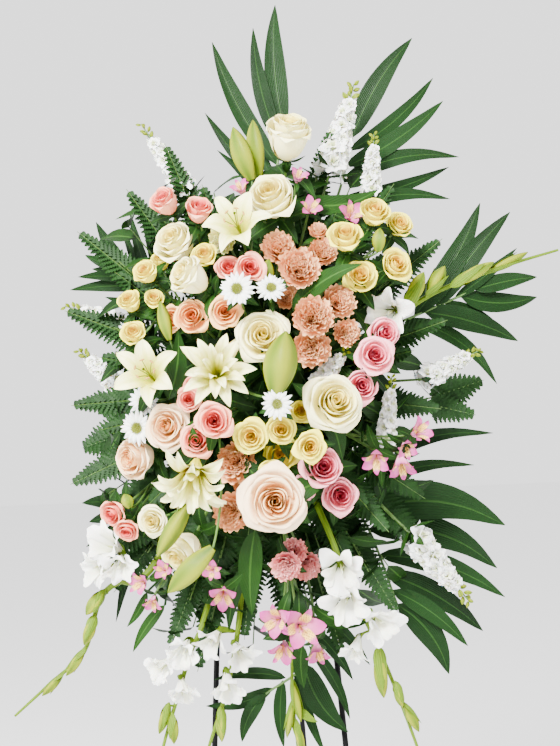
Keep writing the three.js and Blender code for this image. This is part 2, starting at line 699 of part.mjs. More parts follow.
    spine: [[215, 410, 30], [165, 425, 30], [146, 429, 30]],
    ferns: [
      [130, 432, 30, 82, 448, 10, 60, 5], [134, 438, 34, 95, 478, 24, 44, 4],
      [136, 424, 26, 97, 405, 6, 34, 3],
    ],
  },
  {
    name: 'fern_right', colour: 'fern',
    spine: [[330, 400, 30], [390, 400, 30], [414, 401, 30]],
    ferns: [[430, 398, 28, 484, 380, 12, 50, 5], [428, 404, 34, 476, 415, 28, 40, 4]],
  },
];

// How far forward a plant stands over a point of the photograph: along its spine if it has one, or on
// the dome
function standsAt(plant, across, down) {
  if (!plant.spine) return domeAt(across, down);
  const point = new THREE.Vector3(across, down, 0);
  const near = plant.spine.slice(1).map((end, i) => {
    const [from, to] = [new THREE.Vector3(...plant.spine[i]), new THREE.Vector3(...end)];
    const flat = new THREE.Line3(from.clone().setZ(0), to.clone().setZ(0));
    const share = flat.closestPointToPointParameter(point, true);
    const away = flat.at(share, new THREE.Vector3()).distanceTo(point);
    return { away, forward: THREE.MathUtils.lerp(from.z, to.z, share) };
  });
  return near.reduce((best, next) => (next.away < best.away ? next : best)).forward;
}

// Heads that would touch are moved apart along the line of sight, so that the view from the front is kept
const SETTLE_STEPS = 60;
function settle(plants) {
  const heads = plants.flatMap((plant) =>
    (plant.heads ?? []).map((spec) => {
      const [kind, across, down, pixels, lift, right, up] = spec;
      const radius = pixels * MM_PER_PIXEL;
      const reach = -HEADS[kind].profile[0][1] * radius * facing(right, up).dot(TO_VIEWER);
      const forward = standsAt(plant, across, down) + (plant.spine ? reach : 0) + lift;
      return { plant, spec, kind, across, down, radius, forward };
    }),
  );
  for (let step = 0; step < SETTLE_STEPS; step++) {
    heads.forEach((a, i) => {
      for (const b of heads.slice(i + 1)) {
        const aside = Math.hypot(a.across - b.across, a.down - b.down) * MM_PER_PIXEL;
        const reach = a.radius * HEADS[a.kind].girth + b.radius * HEADS[b.kind].girth;
        if (aside >= reach) continue;
        const needed = Math.sqrt(reach * reach - aside * aside);
        const apart = a.forward - b.forward;
        if (Math.abs(apart) >= needed) continue;
        const push = ((needed - Math.abs(apart)) / 4) * (apart >= 0 ? 1 : -1);
        a.forward += push;
        b.forward -= push;
      }
    });
  }
  return heads;
}
const HEAD_LIST = settle(PLANTS);

// The way a head faces, from how far it turns right and up in the picture
function facing(right, up) {
  const ahead = Math.sqrt(Math.max(0.02, 1 - right * right - up * up));
  return new THREE.Vector3()
    .addScaledVector(IMAGE_RIGHT, right)
    .addScaledVector(IMAGE_UP, up)
    .addScaledVector(TO_VIEWER, ahead)
    .normalize();
}

// The foam's frame: its middle, and its directions when it leans back with the easel
const FOAM_MIDDLE = new THREE.Vector3(EASEL_X, 0, FOAM_HEIGHT);
const LEANING = new THREE.Matrix4()
  .makeTranslation(FOAM_MIDDLE)
  .multiply(new THREE.Matrix4().makeRotationX(-LEAN));
const UPRIGHT = LEANING.clone().invert();
const FOCUS = new THREE.Vector3(0, FOCUS_BACK, 0).applyMatrix4(LEANING);

// Where the straight line from the focus to `target` leaves the foam
function foamExit(target) {
  const from = FOCUS.clone().applyMatrix4(UPRIGHT);
  const way = target.clone().applyMatrix4(UPRIGHT).sub(from);
  const half = [BRICK.width / 2, BRICK.depth / 2, BRICK.height + GAP];
  const shares = ['x', 'y', 'z'].map((axis, i) => {
    if (Math.abs(way[axis]) < 1e-6) return Infinity;
    return (Math.sign(way[axis]) * half[i] - from[axis]) / way[axis];
  });
  return FOCUS.clone().lerp(target, Math.min(...shares.filter((s) => s > 0)));
}

// The point of a line of points that is nearest to `target`
function nearestOn(line, target) {
  const near = line.slice(1).map((end, i) => {
    return new THREE.Line3(line[i], end).closestPointToPoint(target, true, new THREE.Vector3());
  });
  return near.reduce((best, p) => (p.distanceTo(target) < best.distanceTo(target) ? p : best));
}

// Where a plant's side stalks leave its main stem, as shares of the way from the focus to its first head
const FORKS = { first: 0.7, spread: 0.24 };

// The parts of a plant that its stalks carry: the rings of each, with the axis of its first ring
function carried(plant) {
  const parts = HEAD_LIST.filter((head) => head.plant === plant).map((head) => {
    const [, across, down, , , right, up, filling] = head.spec;
    const centre = spot(across, down, head.forward);
    const axis = facing(right, up);
    const rings = headOf(head.kind, centre, axis, head.radius, across);
    const heart = filling && headOf(filling, centre, axis, head.radius, across);
    return { rings, axis, spin: across, heart };
  });
  for (const [x1, y1, x2, y2, width, lift] of plant.buds ?? []) {
    const forward = standsAt(plant, x1, y1) + lift;
    const base = spot(x1, y1, forward);
    const tip = spot(x2, y2, forward);
    parts.push({ rings: bud(base, tip, width * MM_PER_PIXEL), axis: tip.sub(base).normalize() });
  }
  for (const [x1, y1, f1, x2, y2, f2, radius] of plant.spikes ?? []) {
    const foot = spot(x1, y1, f1);
    const tip = spot(x2, y2, f2);
    parts.push({ rings: spike(foot, tip, radius * MM_PER_PIXEL), axis: tip.sub(foot).normalize() });
  }
  return parts;
}

// A plant as one solid, and its main stem again a little fatter, for the hole that it needs in the foam
function growPlant(plant) {
  const spine = (plant.spine ?? []).map((point) => spot(...point));
  const parts = carried(plant);
  const first = spine[0] ?? parts[0].rings[0][0];
  const way = first.clone().sub(FOCUS).normalize();
  const root = foamExit(first).addScaledVector(way, -STEM_DEPTH);
  const thick = plant.stalk ?? MAIN_STEM;
  const sideStalks = parts.length - 1 + (plant.leaves ?? []).length;
  let made = 0;
  const forkTo = (end) => {
    if (spine.length) return nearestOn(spine, end);
    const share = (plant.fork ?? FORKS.first) + (FORKS.spread * made++) / sideStalks;
    return FOCUS.clone().lerp(first, share);
  };
  const solids = parts.map(({ rings, axis, spin }, i) => {
    if (i === 0 && !spine.length) return loft(stalked(root, rings, axis, thick, spin));
    const foot = forkTo(rings[0][0]);
    if (foot.distanceTo(rings[0][0]) < SIDE_STEM) return loft(rings);
    return loft(stalked(foot, rings, axis, SIDE_STEM, spin));
  });
  solids.push(...parts.filter((part) => part.heart).map((part) => loft(part.heart)));
  const spineTube = (from, by) => {
    const points = [from, ...spine];
    const radii = points.map((_, i) => by + THREE.MathUtils.lerp(thick, SIDE_STEM, i / spine.length));
    return tube(points, radii);
  };
  if (spine.length) solids.push(spineTube(root, 0));
  for (const [x1, y1, f1, x2, y2, f2, width, bow] of plant.leaves ?? []) {
    const base = spot(x1, y1, f1);
    solids.push(leaf(forkTo(base), base, spot(x2, y2, f2), width * MM_PER_PIXEL, bow));
  }
  for (const [x1, y1, f1, x2, y2, f2, width, pairs] of plant.ferns ?? []) {
    const base = spot(x1, y1, f1);
    solids.push(fern(forkTo(base), base, spot(x2, y2, f2), width * MM_PER_PIXEL, pairs));
  }
  const bottom = root.clone().addScaledVector(way, -GAP);
  const [{ rings, axis, spin } = {}] = parts;
  const hole = spine.length
    ? spineTube(bottom, HOLE_SLACK)
    : loft(stalked(bottom, rings, axis, thick + HOLE_SLACK, spin, SIDE_STEM + HOLE_SLACK).slice(0, 2));
  return { name: plant.name, colour: plant.colour, solid: Manifold.union(solids), hole };
}

// A solid's convex hull, grown by `by` on all sides
function grownHull(solid, by) {
  const { numProp, vertProperties } = solid.getMesh();
  const points = [];
  for (let i = 0; i < vertProperties.length; i += numProp) {
    const point = new THREE.Vector3(...vertProperties.subarray(i, i + 3));
    for (const shift of [-by, by]) {
      points.push(point.clone().add(new THREE.Vector3(shift, 0, 0)));
      points.push(point.clone().add(new THREE.Vector3(0, shift, 0)));
      points.push(point.clone().add(new THREE.Vector3(0, 0, shift)));
    }
  }
  return solidOf(new ConvexGeometry(points));
}

// `lower` without the places where `upper` passes through it
function clearOf(lower, upper) {
  const shared = lower.intersect(upper);
  if (shared.isEmpty() || shared.volume() < 1e-4) return lower;
  return shared.decompose().reduce((rest, piece) => rest.subtract(grownHull(piece, GAP + 0.15)), lower);
}

const grown = PLANTS.map(growPlant);
grown.forEach((plant, i) => {
  for (const earlier of grown.slice(0, i)) plant.solid = clearOf(plant.solid, earlier.solid);
});

// The foam bricks, with a plain hole for each stem
function brick(side) {
  const box = new THREE.BoxGeometry(BRICK.width, BRICK.depth, BRICK.height);
  box.translate(0, 0, side * (BRICK.height / 2 + GAP / 2));
  box.applyMatrix4(LEANING);
  return grown.reduce((rest, plant) => rest.subtract(plant.hole), solidOf(box));
}

// A three.js geometry as a solid
function solidOf(geometry) {
  const plain = geometry.index ? geometry.toNonIndexed() : geometry;
  const position = plain.getAttribute('position');
  const seen = new Map();
  const points = [];
  const triVerts = Uint32Array.from({ length: position.count }, (_, i) => {
    const p = [position.getX(i), position.getY(i), position.getZ(i)];
    const key = p.map((v) => v.toFixed(3)).join();
    if (!seen.has(key)) {
      seen.set(key, seen.size);
      points.push(...p);
    }
    return seen.get(key);
  });
  return new Manifold(new SolidMesh({ numProp: 3, vertProperties: new Float32Array(points), triVerts }));
}

// A box given by its middle and its size, in the foam's leaning frame
function leaningBox(size, middle) {
  const box = new THREE.BoxGeometry(...size);
  box.translate(...middle);
  box.applyMatrix4(LEANING);
  return solidOf(box);
}

// The tray: a back plate with a rim round the foam, and two hooks that go over the easel's hanger bar
const WIRE_BACK = BRICK.depth / 2 + GAP + TRAY_WALL + GAP + WIRE; // from the foam's middle to the wires'
const HANGER_UP = BRICK.height + 22; // the hanger bar's middle, above the foam's
const HOOK_ASIDE = 26;
const HOOK_WIDTH = 12;
function tray() {
  const width = BRICK.width + 2 * (GAP + TRAY_WALL);
  const height = 2 * (BRICK.height + GAP / 2 + GAP + TRAY_WALL);
  const back = BRICK.depth / 2 + GAP;
  const plate = leaningBox([width, TRAY_WALL, height], [0, back + TRAY_WALL / 2, 0]);
  const outer = leaningBox([width, TRAY_RIM, height], [0, back - TRAY_RIM / 2 + 0.5, 0]);
  const inner = leaningBox(
    [width - 2 * TRAY_WALL, TRAY_RIM + 4, height - 2 * TRAY_WALL],
    [0, back - TRAY_RIM / 2 - 1.5, 0],
  );
  const hookTop = HANGER_UP + WIRE + GAP + TRAY_WALL;
  const hookBack = WIRE_BACK + WIRE + GAP + TRAY_WALL;
  const hookFoot = height / 2 - 10;
  const lip = 2 * WIRE + TRAY_WALL;
  const hooks = [-HOOK_ASIDE, HOOK_ASIDE].flatMap((x) => [
    leaningBox(
      [HOOK_WIDTH, TRAY_WALL, hookTop - hookFoot],
      [x, back + TRAY_WALL / 2, (hookTop + hookFoot) / 2],
    ),
    leaningBox(
      [HOOK_WIDTH, hookBack - back, TRAY_WALL],
      [x, (hookBack + back) / 2, hookTop - TRAY_WALL / 2],
    ),
    leaningBox([HOOK_WIDTH, TRAY_WALL, lip], [x, hookBack - TRAY_WALL / 2, hookTop - lip / 2]),
  ]);
  return Manifold.union([plate, outer.subtract(inner), ...hooks]);
}

// The easel's wires. A point of the front frame is given by how far it is aside and how high it is.
const slope = Math.tan(LEAN);
function frontWire(aside, height) {
  const back = WIRE_BACK / Math.cos(LEAN) + (height - FOAM_HEIGHT) * slope;
  return new THREE.Vector3(EASEL_X + aside, back, height);
}
const halfAt = (height) => THREE.MathUtils.lerp(FOOT_HALF, TOP_HALF, height / EASEL_HEIGHT);
const WIRE_SIDES = 8;
const FLOOR_SLAB = new THREE.BoxGeometry(2000, 2000, 200).translate(0, 0, -100);

// A front leg, cut flat at the floor
function frontLeg(side) {
  const ends = [-20, EASEL_HEIGHT + 14].map((height) => frontWire(side * halfAt(height), height));
  return tube(ends, WIRE, WIRE_SIDES).subtract(solidOf(FLOOR_SLAB));
}

// A bar between the two front legs, a touch short of each
function crossBar(height) {
  const end = halfAt(height) - WIRE - GAP;
  return tube([frontWire(-end, height), frontWire(end, height)], WIRE, WIRE_SIDES);
}

// The back leg: an eye round the top bar, and a wire down to the floor
const EYE_HALF_WIDTH = 5;
const EYE_SIDES = 14;
const PIVOT = frontWire(0, EASEL_HEIGHT);
function backLeg() {
  const inner = WIRE + EYE_CLEARANCE;
  const outer = inner + 2 * WIRE * 0.8;
  const section = [
    new THREE.Vector2(inner, -EYE_HALF_WIDTH),
    new THREE.Vector2(outer, -EYE_HALF_WIDTH),
    new THREE.Vector2(outer, EYE_HALF_WIDTH),
    new THREE.Vector2(inner, EYE_HALF_WIDTH),
    new THREE.Vector2(inner, -EYE_HALF_WIDTH),
  ];
  const ring = new THREE.LatheGeometry(section, EYE_SIDES);
  ring.rotateZ(Math.PI / 2);
  ring.translate(PIVOT.x, PIVOT.y, PIVOT.z);
  const down = new THREE.Vector3(BACK_FOOT_SHIFT / EASEL_HEIGHT, Math.tan(BACK_LEAN), -1);
  const start = PIVOT.clone().addScaledVector(down.clone().normalize(), (inner + outer) / 2);
  const foot = PIVOT.clone().addScaledVector(down, PIVOT.z + 20);
  return solidOf(ring).add(tube([start, foot], WIRE, WIRE_SIDES)).subtract(solidOf(FLOOR_SLAB));
}

// The largest body of a solid: scraps that a cut left loose are dropped
function mainBody(solid) {
  return solid.decompose().reduce((best, body) => (body.volume() > best.volume() ? body : best));
}

// A solid as a named mesh with its material
function toMesh(name, solid, colour, { roughness = 0.6, metalness = 0 } = {}) {
  const { numProp, vertProperties, triVerts } = solid.getMesh();
  const points = new Float32Array((vertProperties.length / numProp) * 3);
  for (let i = 0; i < points.length / 3; i++) {
    points.set(vertProperties.subarray(i * numProp, i * numProp + 3), i * 3);
  }
  const geometry = new THREE.BufferGeometry();
  geometry.setAttribute('position', new THREE.BufferAttribute(points, 3));
  geometry.setIndex(new THREE.BufferAttribute(triVerts, 1));
  geometry.computeVertexNormals();
  const material = new THREE.MeshStandardMaterial({ color: COLOURS[colour], roughness, metalness });
  const mesh = new THREE.Mesh(geometry, material);
  mesh.name = name;
  return mesh;
}

const spray = new THREE.Group();
const WIRE_FINISH = { roughness: 0.35, metalness: 0.6 };
const HANGER_HEIGHT = FOAM_HEIGHT + HANGER_UP * Math.cos(LEAN) - WIRE_BACK * Math.sin(LEAN);
spray.add(
  toMesh('easel_leg_left', frontLeg(-1), 'wire', WIRE_FINISH),
  toMesh('easel_leg_right', frontLeg(1), 'wire', WIRE_FINISH),
  toMesh('easel_top_bar', crossBar(EASEL_HEIGHT), 'wire', WIRE_FINISH),
  toMesh('easel_hanger_bar', crossBar(HANGER_HEIGHT), 'wire', WIRE_FINISH),
  toMesh('easel_low_bar', crossBar(LOW_BAR), 'wire', WIRE_FINISH),
  toMesh('easel_back_leg', backLeg(), 'wire', WIRE_FINISH),
  toMesh('foam_tray', tray(), 'tray', { roughness: 0.5 }),
  toMesh('foam_brick_upper', mainBody(brick(1)), 'foam', { roughness: 0.95 }),
  toMesh('foam_brick_lower', mainBody(brick(-1)), 'foam', { roughness: 0.95 }),
  ...grown.map((plant) => toMesh(plant.name, mainBody(plant.solid), plant.colour)),
);

// The origin is on the floor, under the middle of the whole
const bounds = new THREE.Box3().setFromObject(spray);
const middle = bounds.getCenter(new THREE.Vector3());
spray.position.set(-middle.x, -middle.y, -bounds.min.z);

export default spray;
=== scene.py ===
"""A standing funeral spray on a folding wire easel. Metres, +Z up, and the flowers face -Y."""

import math

import bpy
import numpy as np
from mathutils import Matrix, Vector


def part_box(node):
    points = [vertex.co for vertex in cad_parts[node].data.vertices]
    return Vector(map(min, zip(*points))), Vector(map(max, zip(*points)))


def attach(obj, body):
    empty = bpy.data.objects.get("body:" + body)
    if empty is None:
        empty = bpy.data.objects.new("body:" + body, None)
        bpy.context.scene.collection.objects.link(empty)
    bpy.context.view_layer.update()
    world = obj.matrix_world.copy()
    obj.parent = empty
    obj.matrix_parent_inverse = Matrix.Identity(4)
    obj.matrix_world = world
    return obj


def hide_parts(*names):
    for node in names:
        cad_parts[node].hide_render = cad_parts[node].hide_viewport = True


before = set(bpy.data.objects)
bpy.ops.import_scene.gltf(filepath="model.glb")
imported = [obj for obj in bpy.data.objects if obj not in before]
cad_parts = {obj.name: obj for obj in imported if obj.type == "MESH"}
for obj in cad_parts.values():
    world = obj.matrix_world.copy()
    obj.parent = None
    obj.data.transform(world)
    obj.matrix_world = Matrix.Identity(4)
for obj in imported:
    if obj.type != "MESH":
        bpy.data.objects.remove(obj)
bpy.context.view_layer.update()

# The camera, where the photographer stood. One pixel of the picture is 1.4 mm on the upright plane
# through the middle of the foam, seen from 2.6 m away, and the picture is turned by 2.5 degrees.
PICTURE = (560, 746)
PIXEL = 0.0014
EYE_AWAY = 2.6
EYE_HEIGHT = 0.9522
ROLL = math.radians(2.5)
RIGHT = np.array([math.cos(ROLL), 0, -math.sin(ROLL)])
UP = np.array([math.sin(ROLL), 0, math.cos(ROLL)])
NEAR = np.array([0, -1, 0])

foam_corners = np.array([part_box("foam_brick_lower"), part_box("foam_brick_upper")])
foam_middle = (foam_corners.min(axis=(0, 1)) + foam_corners.max(axis=(0, 1))) / 2
EASEL_ASIDE = -0.022
view_centre = np.array([foam_middle[0] - EASEL_ASIDE, foam_middle[1], EYE_HEIGHT])


def spot(across, down, forward):
    """The place seen at a pixel of the picture, `forward` millimetres nearer than the foam's middle."""
    scale = PIXEL * (1 - forward / 1000 / EYE_AWAY)
    aside, rise = across - PICTURE[0] / 2, PICTURE[1] / 2 - down
    return view_centre + (RIGHT * aside + UP * rise) * scale + NEAR * forward / 1000


camera_data = bpy.data.cameras.new("camera")
camera_data.sensor_width = 36
camera_data.lens = 36 * EYE_AWAY / (PICTURE[1] * PIXEL)
camera = bpy.data.objects.new("camera", camera_data)
camera.matrix_world = Matrix(
    [[*row, place] for row, place in zip(np.column_stack([RIGHT, UP, NEAR]), view_centre + NEAR * EYE_AWAY)]
    + [[0, 0, 0, 1]]
)
bpy.context.scene.collection.objects.link(camera)
bpy.context.scene.camera = camera

# The easel: five lengths of black enamelled steel wire, 8 mm thick, welded into a leaning frame.
# Each wire is drawn round between the ends of its solid, and its ends are rounded off.
WIRE_RADIUS = 0.004


class Reading:
    """One value or colour that varies over a surface. Sums of readings add the nodes that work them out."""

    def __init__(self, finish, socket):
        self.finish = finish
        self.socket = socket

    def worked(self, operation, first, second):
        return self.finish.node("ShaderNodeMath", {"operation": operation}, {0: first, 1: second})

    def __add__(self, other):
        return self.worked("ADD", self, other)

    def __radd__(self, other):
        return self.worked("ADD", other, self)

    def __sub__(self, other):
        return self.worked("SUBTRACT", self, other)

    def __rsub__(self, other):
        return self.worked("SUBTRACT", other, self)

    def __mul__(self, other):
        return self.worked("MULTIPLY", self, other)

    def __rmul__(self, other):
        return self.worked("MULTIPLY", other, self)


class Finish:
    """A material under construction: a Principled shader and the nodes that feed it."""

    def __init__(self, name, **constants):
        self.material = bpy.data.materials.new(name)
        self.material.use_nodes = True
        self.nodes = self.material.node_tree.nodes
        self.links = self.material.node_tree.links
        self.shader = self.nodes["Principled BSDF"]
        for socket, value in constants.items():
            self.shader.inputs[socket.replace("_", " ")].default_value = value

    def node(self, kind, settings, sockets, out=0):
        made = self.nodes.new(kind)
        for setting, value in settings.items():
            if setting == "stops":
                while len(made.color_ramp.elements) < len(value):
                    made.color_ramp.elements.new(0.5)
                for element, (position, colour) in zip(made.color_ramp.elements, value):
                    element.position, element.color = position, (*colour, 1)
            else:
                setattr(made, setting, value)
        for socket, value in sockets.items():
            if isinstance(value, Reading):
                self.links.new(value.socket, made.inputs[socket])
            else:
                made.inputs[socket].default_value = value
        return Reading(self, made.outputs[out])

    def blend(self, share, first, second):
        """From the first colour to the second as the share goes from 0 to 1."""
        colours = {
            index: value if isinstance(value, Reading) else (*value, 1)
            for index, value in ((6, first), (7, second))
        }
        return self.node("ShaderNodeMix", {"data_type": "RGBA"}, {0: share, **colours}, out=2)

    def ramp(self, value, *stops):
        return self.node("ShaderNodeValToRGB", {"stops": stops}, {0: value})

    def between(self, value, low, high):
        """0 where the value is below low, 1 where it is above high."""
        ends = {"From Min": low, "From Max": high}
        return self.node("ShaderNodeMapRange", {"interpolation_type": "SMOOTHSTEP"}, {0: value, **ends})

    def sine(self, reading):
        return self.node("ShaderNodeMath", {"operation": "SINE"}, {0: reading})

    def middle_line(self, across, inner, outer):
        """1 on the middle line of a leaf or petal, 0 away from it."""
        away = self.node("ShaderNodeMath", {"operation": "ABSOLUTE"}, {0: across})
        return 1 - self.between(away, inner, outer)

    def speckle(self, scale, detail=2.0):
        """Soft noise from the place on the object, where scale is patches per metre."""
        place = self.node("ShaderNodeTexCoord", {}, {}, out=3)
        return self.node("ShaderNodeTexNoise", {}, {"Vector": place, "Scale": scale, "Detail": detail})

    def marks(self):
        """What each point of a petal or leaf was marked with: how far along it is, how far across, and
        how deep in the flower the petal stands."""
        vector = self.node("ShaderNodeAttribute", {"attribute_name": "marks"}, {}, out=1)
        return [self.node("ShaderNodeSeparateXYZ", {}, {0: vector}, out=axis) for axis in range(3)]

    def feed(self, **readings):
        for socket, reading in readings.items():
            self.links.new(reading.socket, self.shader.inputs[socket.replace("_", " ")])

    def bump(self, height, distance, strength=1.0):
        relief = {"Height": height, "Distance": distance, "Strength": strength}
        self.feed(Normal=self.node("ShaderNodeBump", {}, relief))


enamel = Finish("black_enamel", Specular_IOR_Level=0.08)
dust = enamel.speckle(90, 4)
enamel.feed(Base_Color=enamel.blend(dust, (0.001, 0.001, 0.0012), (0.004, 0.004, 0.0045)))
enamel.feed(Roughness=0.22 + 0.3 * dust)
enamel.bump(enamel.speckle(700, 3), 0.0003, 0.5)


def each_unit(vectors):
    return vectors / np.linalg.norm(vectors, axis=1, keepdims=True)


class Cutting:
    """The tubes, petals and leaves of one piece, gathered until they are made into one mesh."""

    def __init__(self):
        self.points, self.faces, self.marks, self.finishes = [], [], [], []
        self.count = 0

    def sheet(self, grid, finish, along=None, across=None, depth=0.5, closed=False):
        """A smooth sheet through rows of points; a closed one joins each row's ends, as a tube does."""
        rows, columns = grid.shape[:2]
        if along is None:
            along = np.repeat(np.linspace(0, 1, rows)[:, None], columns, axis=1)
        if across is None:
            across = np.repeat(np.linspace(-1, 1, columns)[None], rows, axis=0)
        index = self.count + np.arange(rows * columns).reshape(rows, columns)
        if closed:
            index = np.hstack([index, index[:, :1]])
        corners = [index[:-1, :-1], index[:-1, 1:], index[1:, 1:], index[1:, :-1]]
        faces = np.stack([c.ravel() for c in corners], axis=-1)
        self.points.append(grid.reshape(-1, 3))
        self.marks.append(np.stack([along, across, np.full_like(along, depth)], axis=-1).reshape(-1, 3))
        self.faces.append(faces)
        self.finishes.append(np.full(len(faces), finish))
        self.count += rows * columns

    def tube(self, path, radii, finish, sides=8):
        """A round tube along a line of points, closed to almost nothing where its radius is 0."""
        path = np.asarray(path, float)
        radii = np.broadcast_to(np.asarray(radii, float), len(path))
        ways = each_unit(np.gradient(path, axis=0))
        hint = np.array([0.0, 1.0, 0.0]) if abs(ways[0][2]) > 0.9 else np.array([0.0, 0.0, 1.0])
        if np.abs(ways @ hint).max() > 0.9999:
            hint = np.array([1.0, 0.0, 0.0])
        side = each_unit(np.cross(hint, ways))
        other = np.cross(ways, side)
        turn = np.linspace(0, 2 * math.pi, sides, endpoint=False)
        wheel = side[:, None] * np.cos(turn)[None, :, None] + other[:, None] * np.sin(turn)[None, :, None]
        grid = path[:, None] + wheel * np.maximum(radii, 1e-5)[:, None, None]
        self.sheet(grid, finish, closed=True)

    def made(self, name, finishes, body="stand"):
        """The gathered sheets as one smooth-shaded object that rides on a body."""
        mesh = bpy.data.meshes.new(name)
        points, faces = np.concatenate(self.points), np.concatenate(self.faces)
        mesh.vertices.add(len(points))
        mesh.vertices.foreach_set("co", points.astype(np.float32).ravel())
        mesh.loops.add(faces.size)
        mesh.loops.foreach_set("vertex_index", faces.astype(np.int32).ravel())
        mesh.polygons.add(len(faces))
        mesh.polygons.foreach_set("loop_start", np.arange(0, faces.size, 4, dtype=np.int32))
        mesh.polygons.foreach_set("material_index", np.concatenate(self.finishes).astype(np.int32))
        mesh.update(calc_edges=True)
        mesh.shade_smooth()
        marks = mesh.attributes.new("marks", "FLOAT_VECTOR", "POINT")
        marks.data.foreach_set("vector", np.concatenate(self.marks).astype(np.float32).ravel())
        for finish in finishes:
            mesh.materials.append(finish.material)
        piece = bpy.data.objects.new(name, mesh)
        bpy.context.scene.collection.objects.link(piece)
        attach(piece, body)
        return piece


def rounded_wire(cutting, start, end):
    """A straight wire whose two ends are rounded off."""
    start, end = np.asarray(start, float), np.asarray(end, float)
    way = (end - start) / np.linalg.norm(end - start)
    shrink = np.array([0.0, 0.55, 0.85, 1.0])
    inset = WIRE_RADIUS * 0.5 * np.array([0.0, 0.12, 0.45, 1.0])
    path = [*(start + way * inset[:, None]), *(end - way * inset[::-1, None])]
    cutting.tube(path, WIRE_RADIUS * np.array([*shrink, *shrink[::-1]]), 0, 20)


def ends_of(node, axis):
    """The middles of the two end rings of a straight wire's solid, along an axis."""
    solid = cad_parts[node]
    corners = np.array([solid.matrix_world @ v.co for v in solid.data.vertices])
    low, high = corners[:, axis].min(), corners[:, axis].max()
    reach = 2.6 * WIRE_RADIUS
    near_low = np.unique(corners[corners[:, axis] < low + reach].round(5), axis=0)
    near_high = np.unique(corners[corners[:, axis] > high - reach].round(5), axis=0)
    return near_low.mean(axis=0), near_high.mean(axis=0)


for wire, axis in (
    ("easel_leg_left", 2),
    ("easel_leg_right", 2),
    ("easel_top_bar", 0),
    ("easel_hanger_bar", 0),
    ("easel_low_bar", 0),
):
    length = Cutting()
    rounded_wire(length, *ends_of(wire, axis))
    round_wire = length.made(f"{wire}_wire", [enamel])
    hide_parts(wire)

# The back leg: the same wire, bent into an eye that turns on the top bar.
# The real leg swings forward against the frame when the easel is folded; here it is drawn standing, on a body
# of its own.
EYE_RADIUS = 0.0078
EYE_WIRE = 0.0031

pivot = np.mean(ends_of("easel_top_bar", 0), axis=0)
back_foot, _ = ends_of("easel_back_leg", 2)
back_leg = Cutting()
turns = np.linspace(0, 2 * math.pi, 41)
ring = pivot + EYE_RADIUS * np.stack([0 * turns, np.cos(turns), np.sin(turns)], axis=-1)
way_down = (back_foot - pivot) / np.linalg.norm(back_foot - pivot)
back_leg.tube(ring, EYE_WIRE, 0, 14)
rounded_wire(back_leg, pivot + way_down * EYE_RADIUS, back_foot)
back_leg_wire = back_leg.made("easel_back_leg_wire", [enamel], "back_leg")
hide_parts("easel_back_leg")

# The tray: dark green moulded plastic that holds the foam from behind and along its sides,
# with two hooks over the easel's hanger bar.
moulded = Finish("green_moulded_plastic", Specular_IOR_Level=0.2)
scuffs = moulded.speckle(60, 6)
moulded.feed(Base_Color=moulded.blend(scuffs, (0.002, 0.012, 0.006), (0.006, 0.026, 0.013)))
moulded.feed(Roughness=0.3 + 0.25 * scuffs)
moulded.bump(moulded.speckle(1500, 2), 0.0002, 0.6)
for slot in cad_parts["foam_tray"].material_slots:
    slot.material = moulded.material

# The foam: two bricks of wet floral foam, one above the other, with a hole for each stem.
# It is a fine brittle sponge, dark with water.
wet_foam = Finish("wet_floral_foam", Specular_IOR_Level=0.12)
soaked = wet_foam.speckle(25, 5)
cells = wet_foam.node("ShaderNodeTexVoronoi", {}, {"Scale": 1400.0})
wet_foam.feed(Base_Color=wet_foam.blend(soaked, (0.004, 0.017, 0.007), (0.011, 0.036, 0.015)))
wet_foam.feed(Roughness=0.65 + 0.3 * soaked)
wet_foam.bump(cells, 0.0006)
for brick in ("foam_brick_upper", "foam_brick_lower"):
    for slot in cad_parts[brick].material_slots:
        slot.material = wet_foam.material

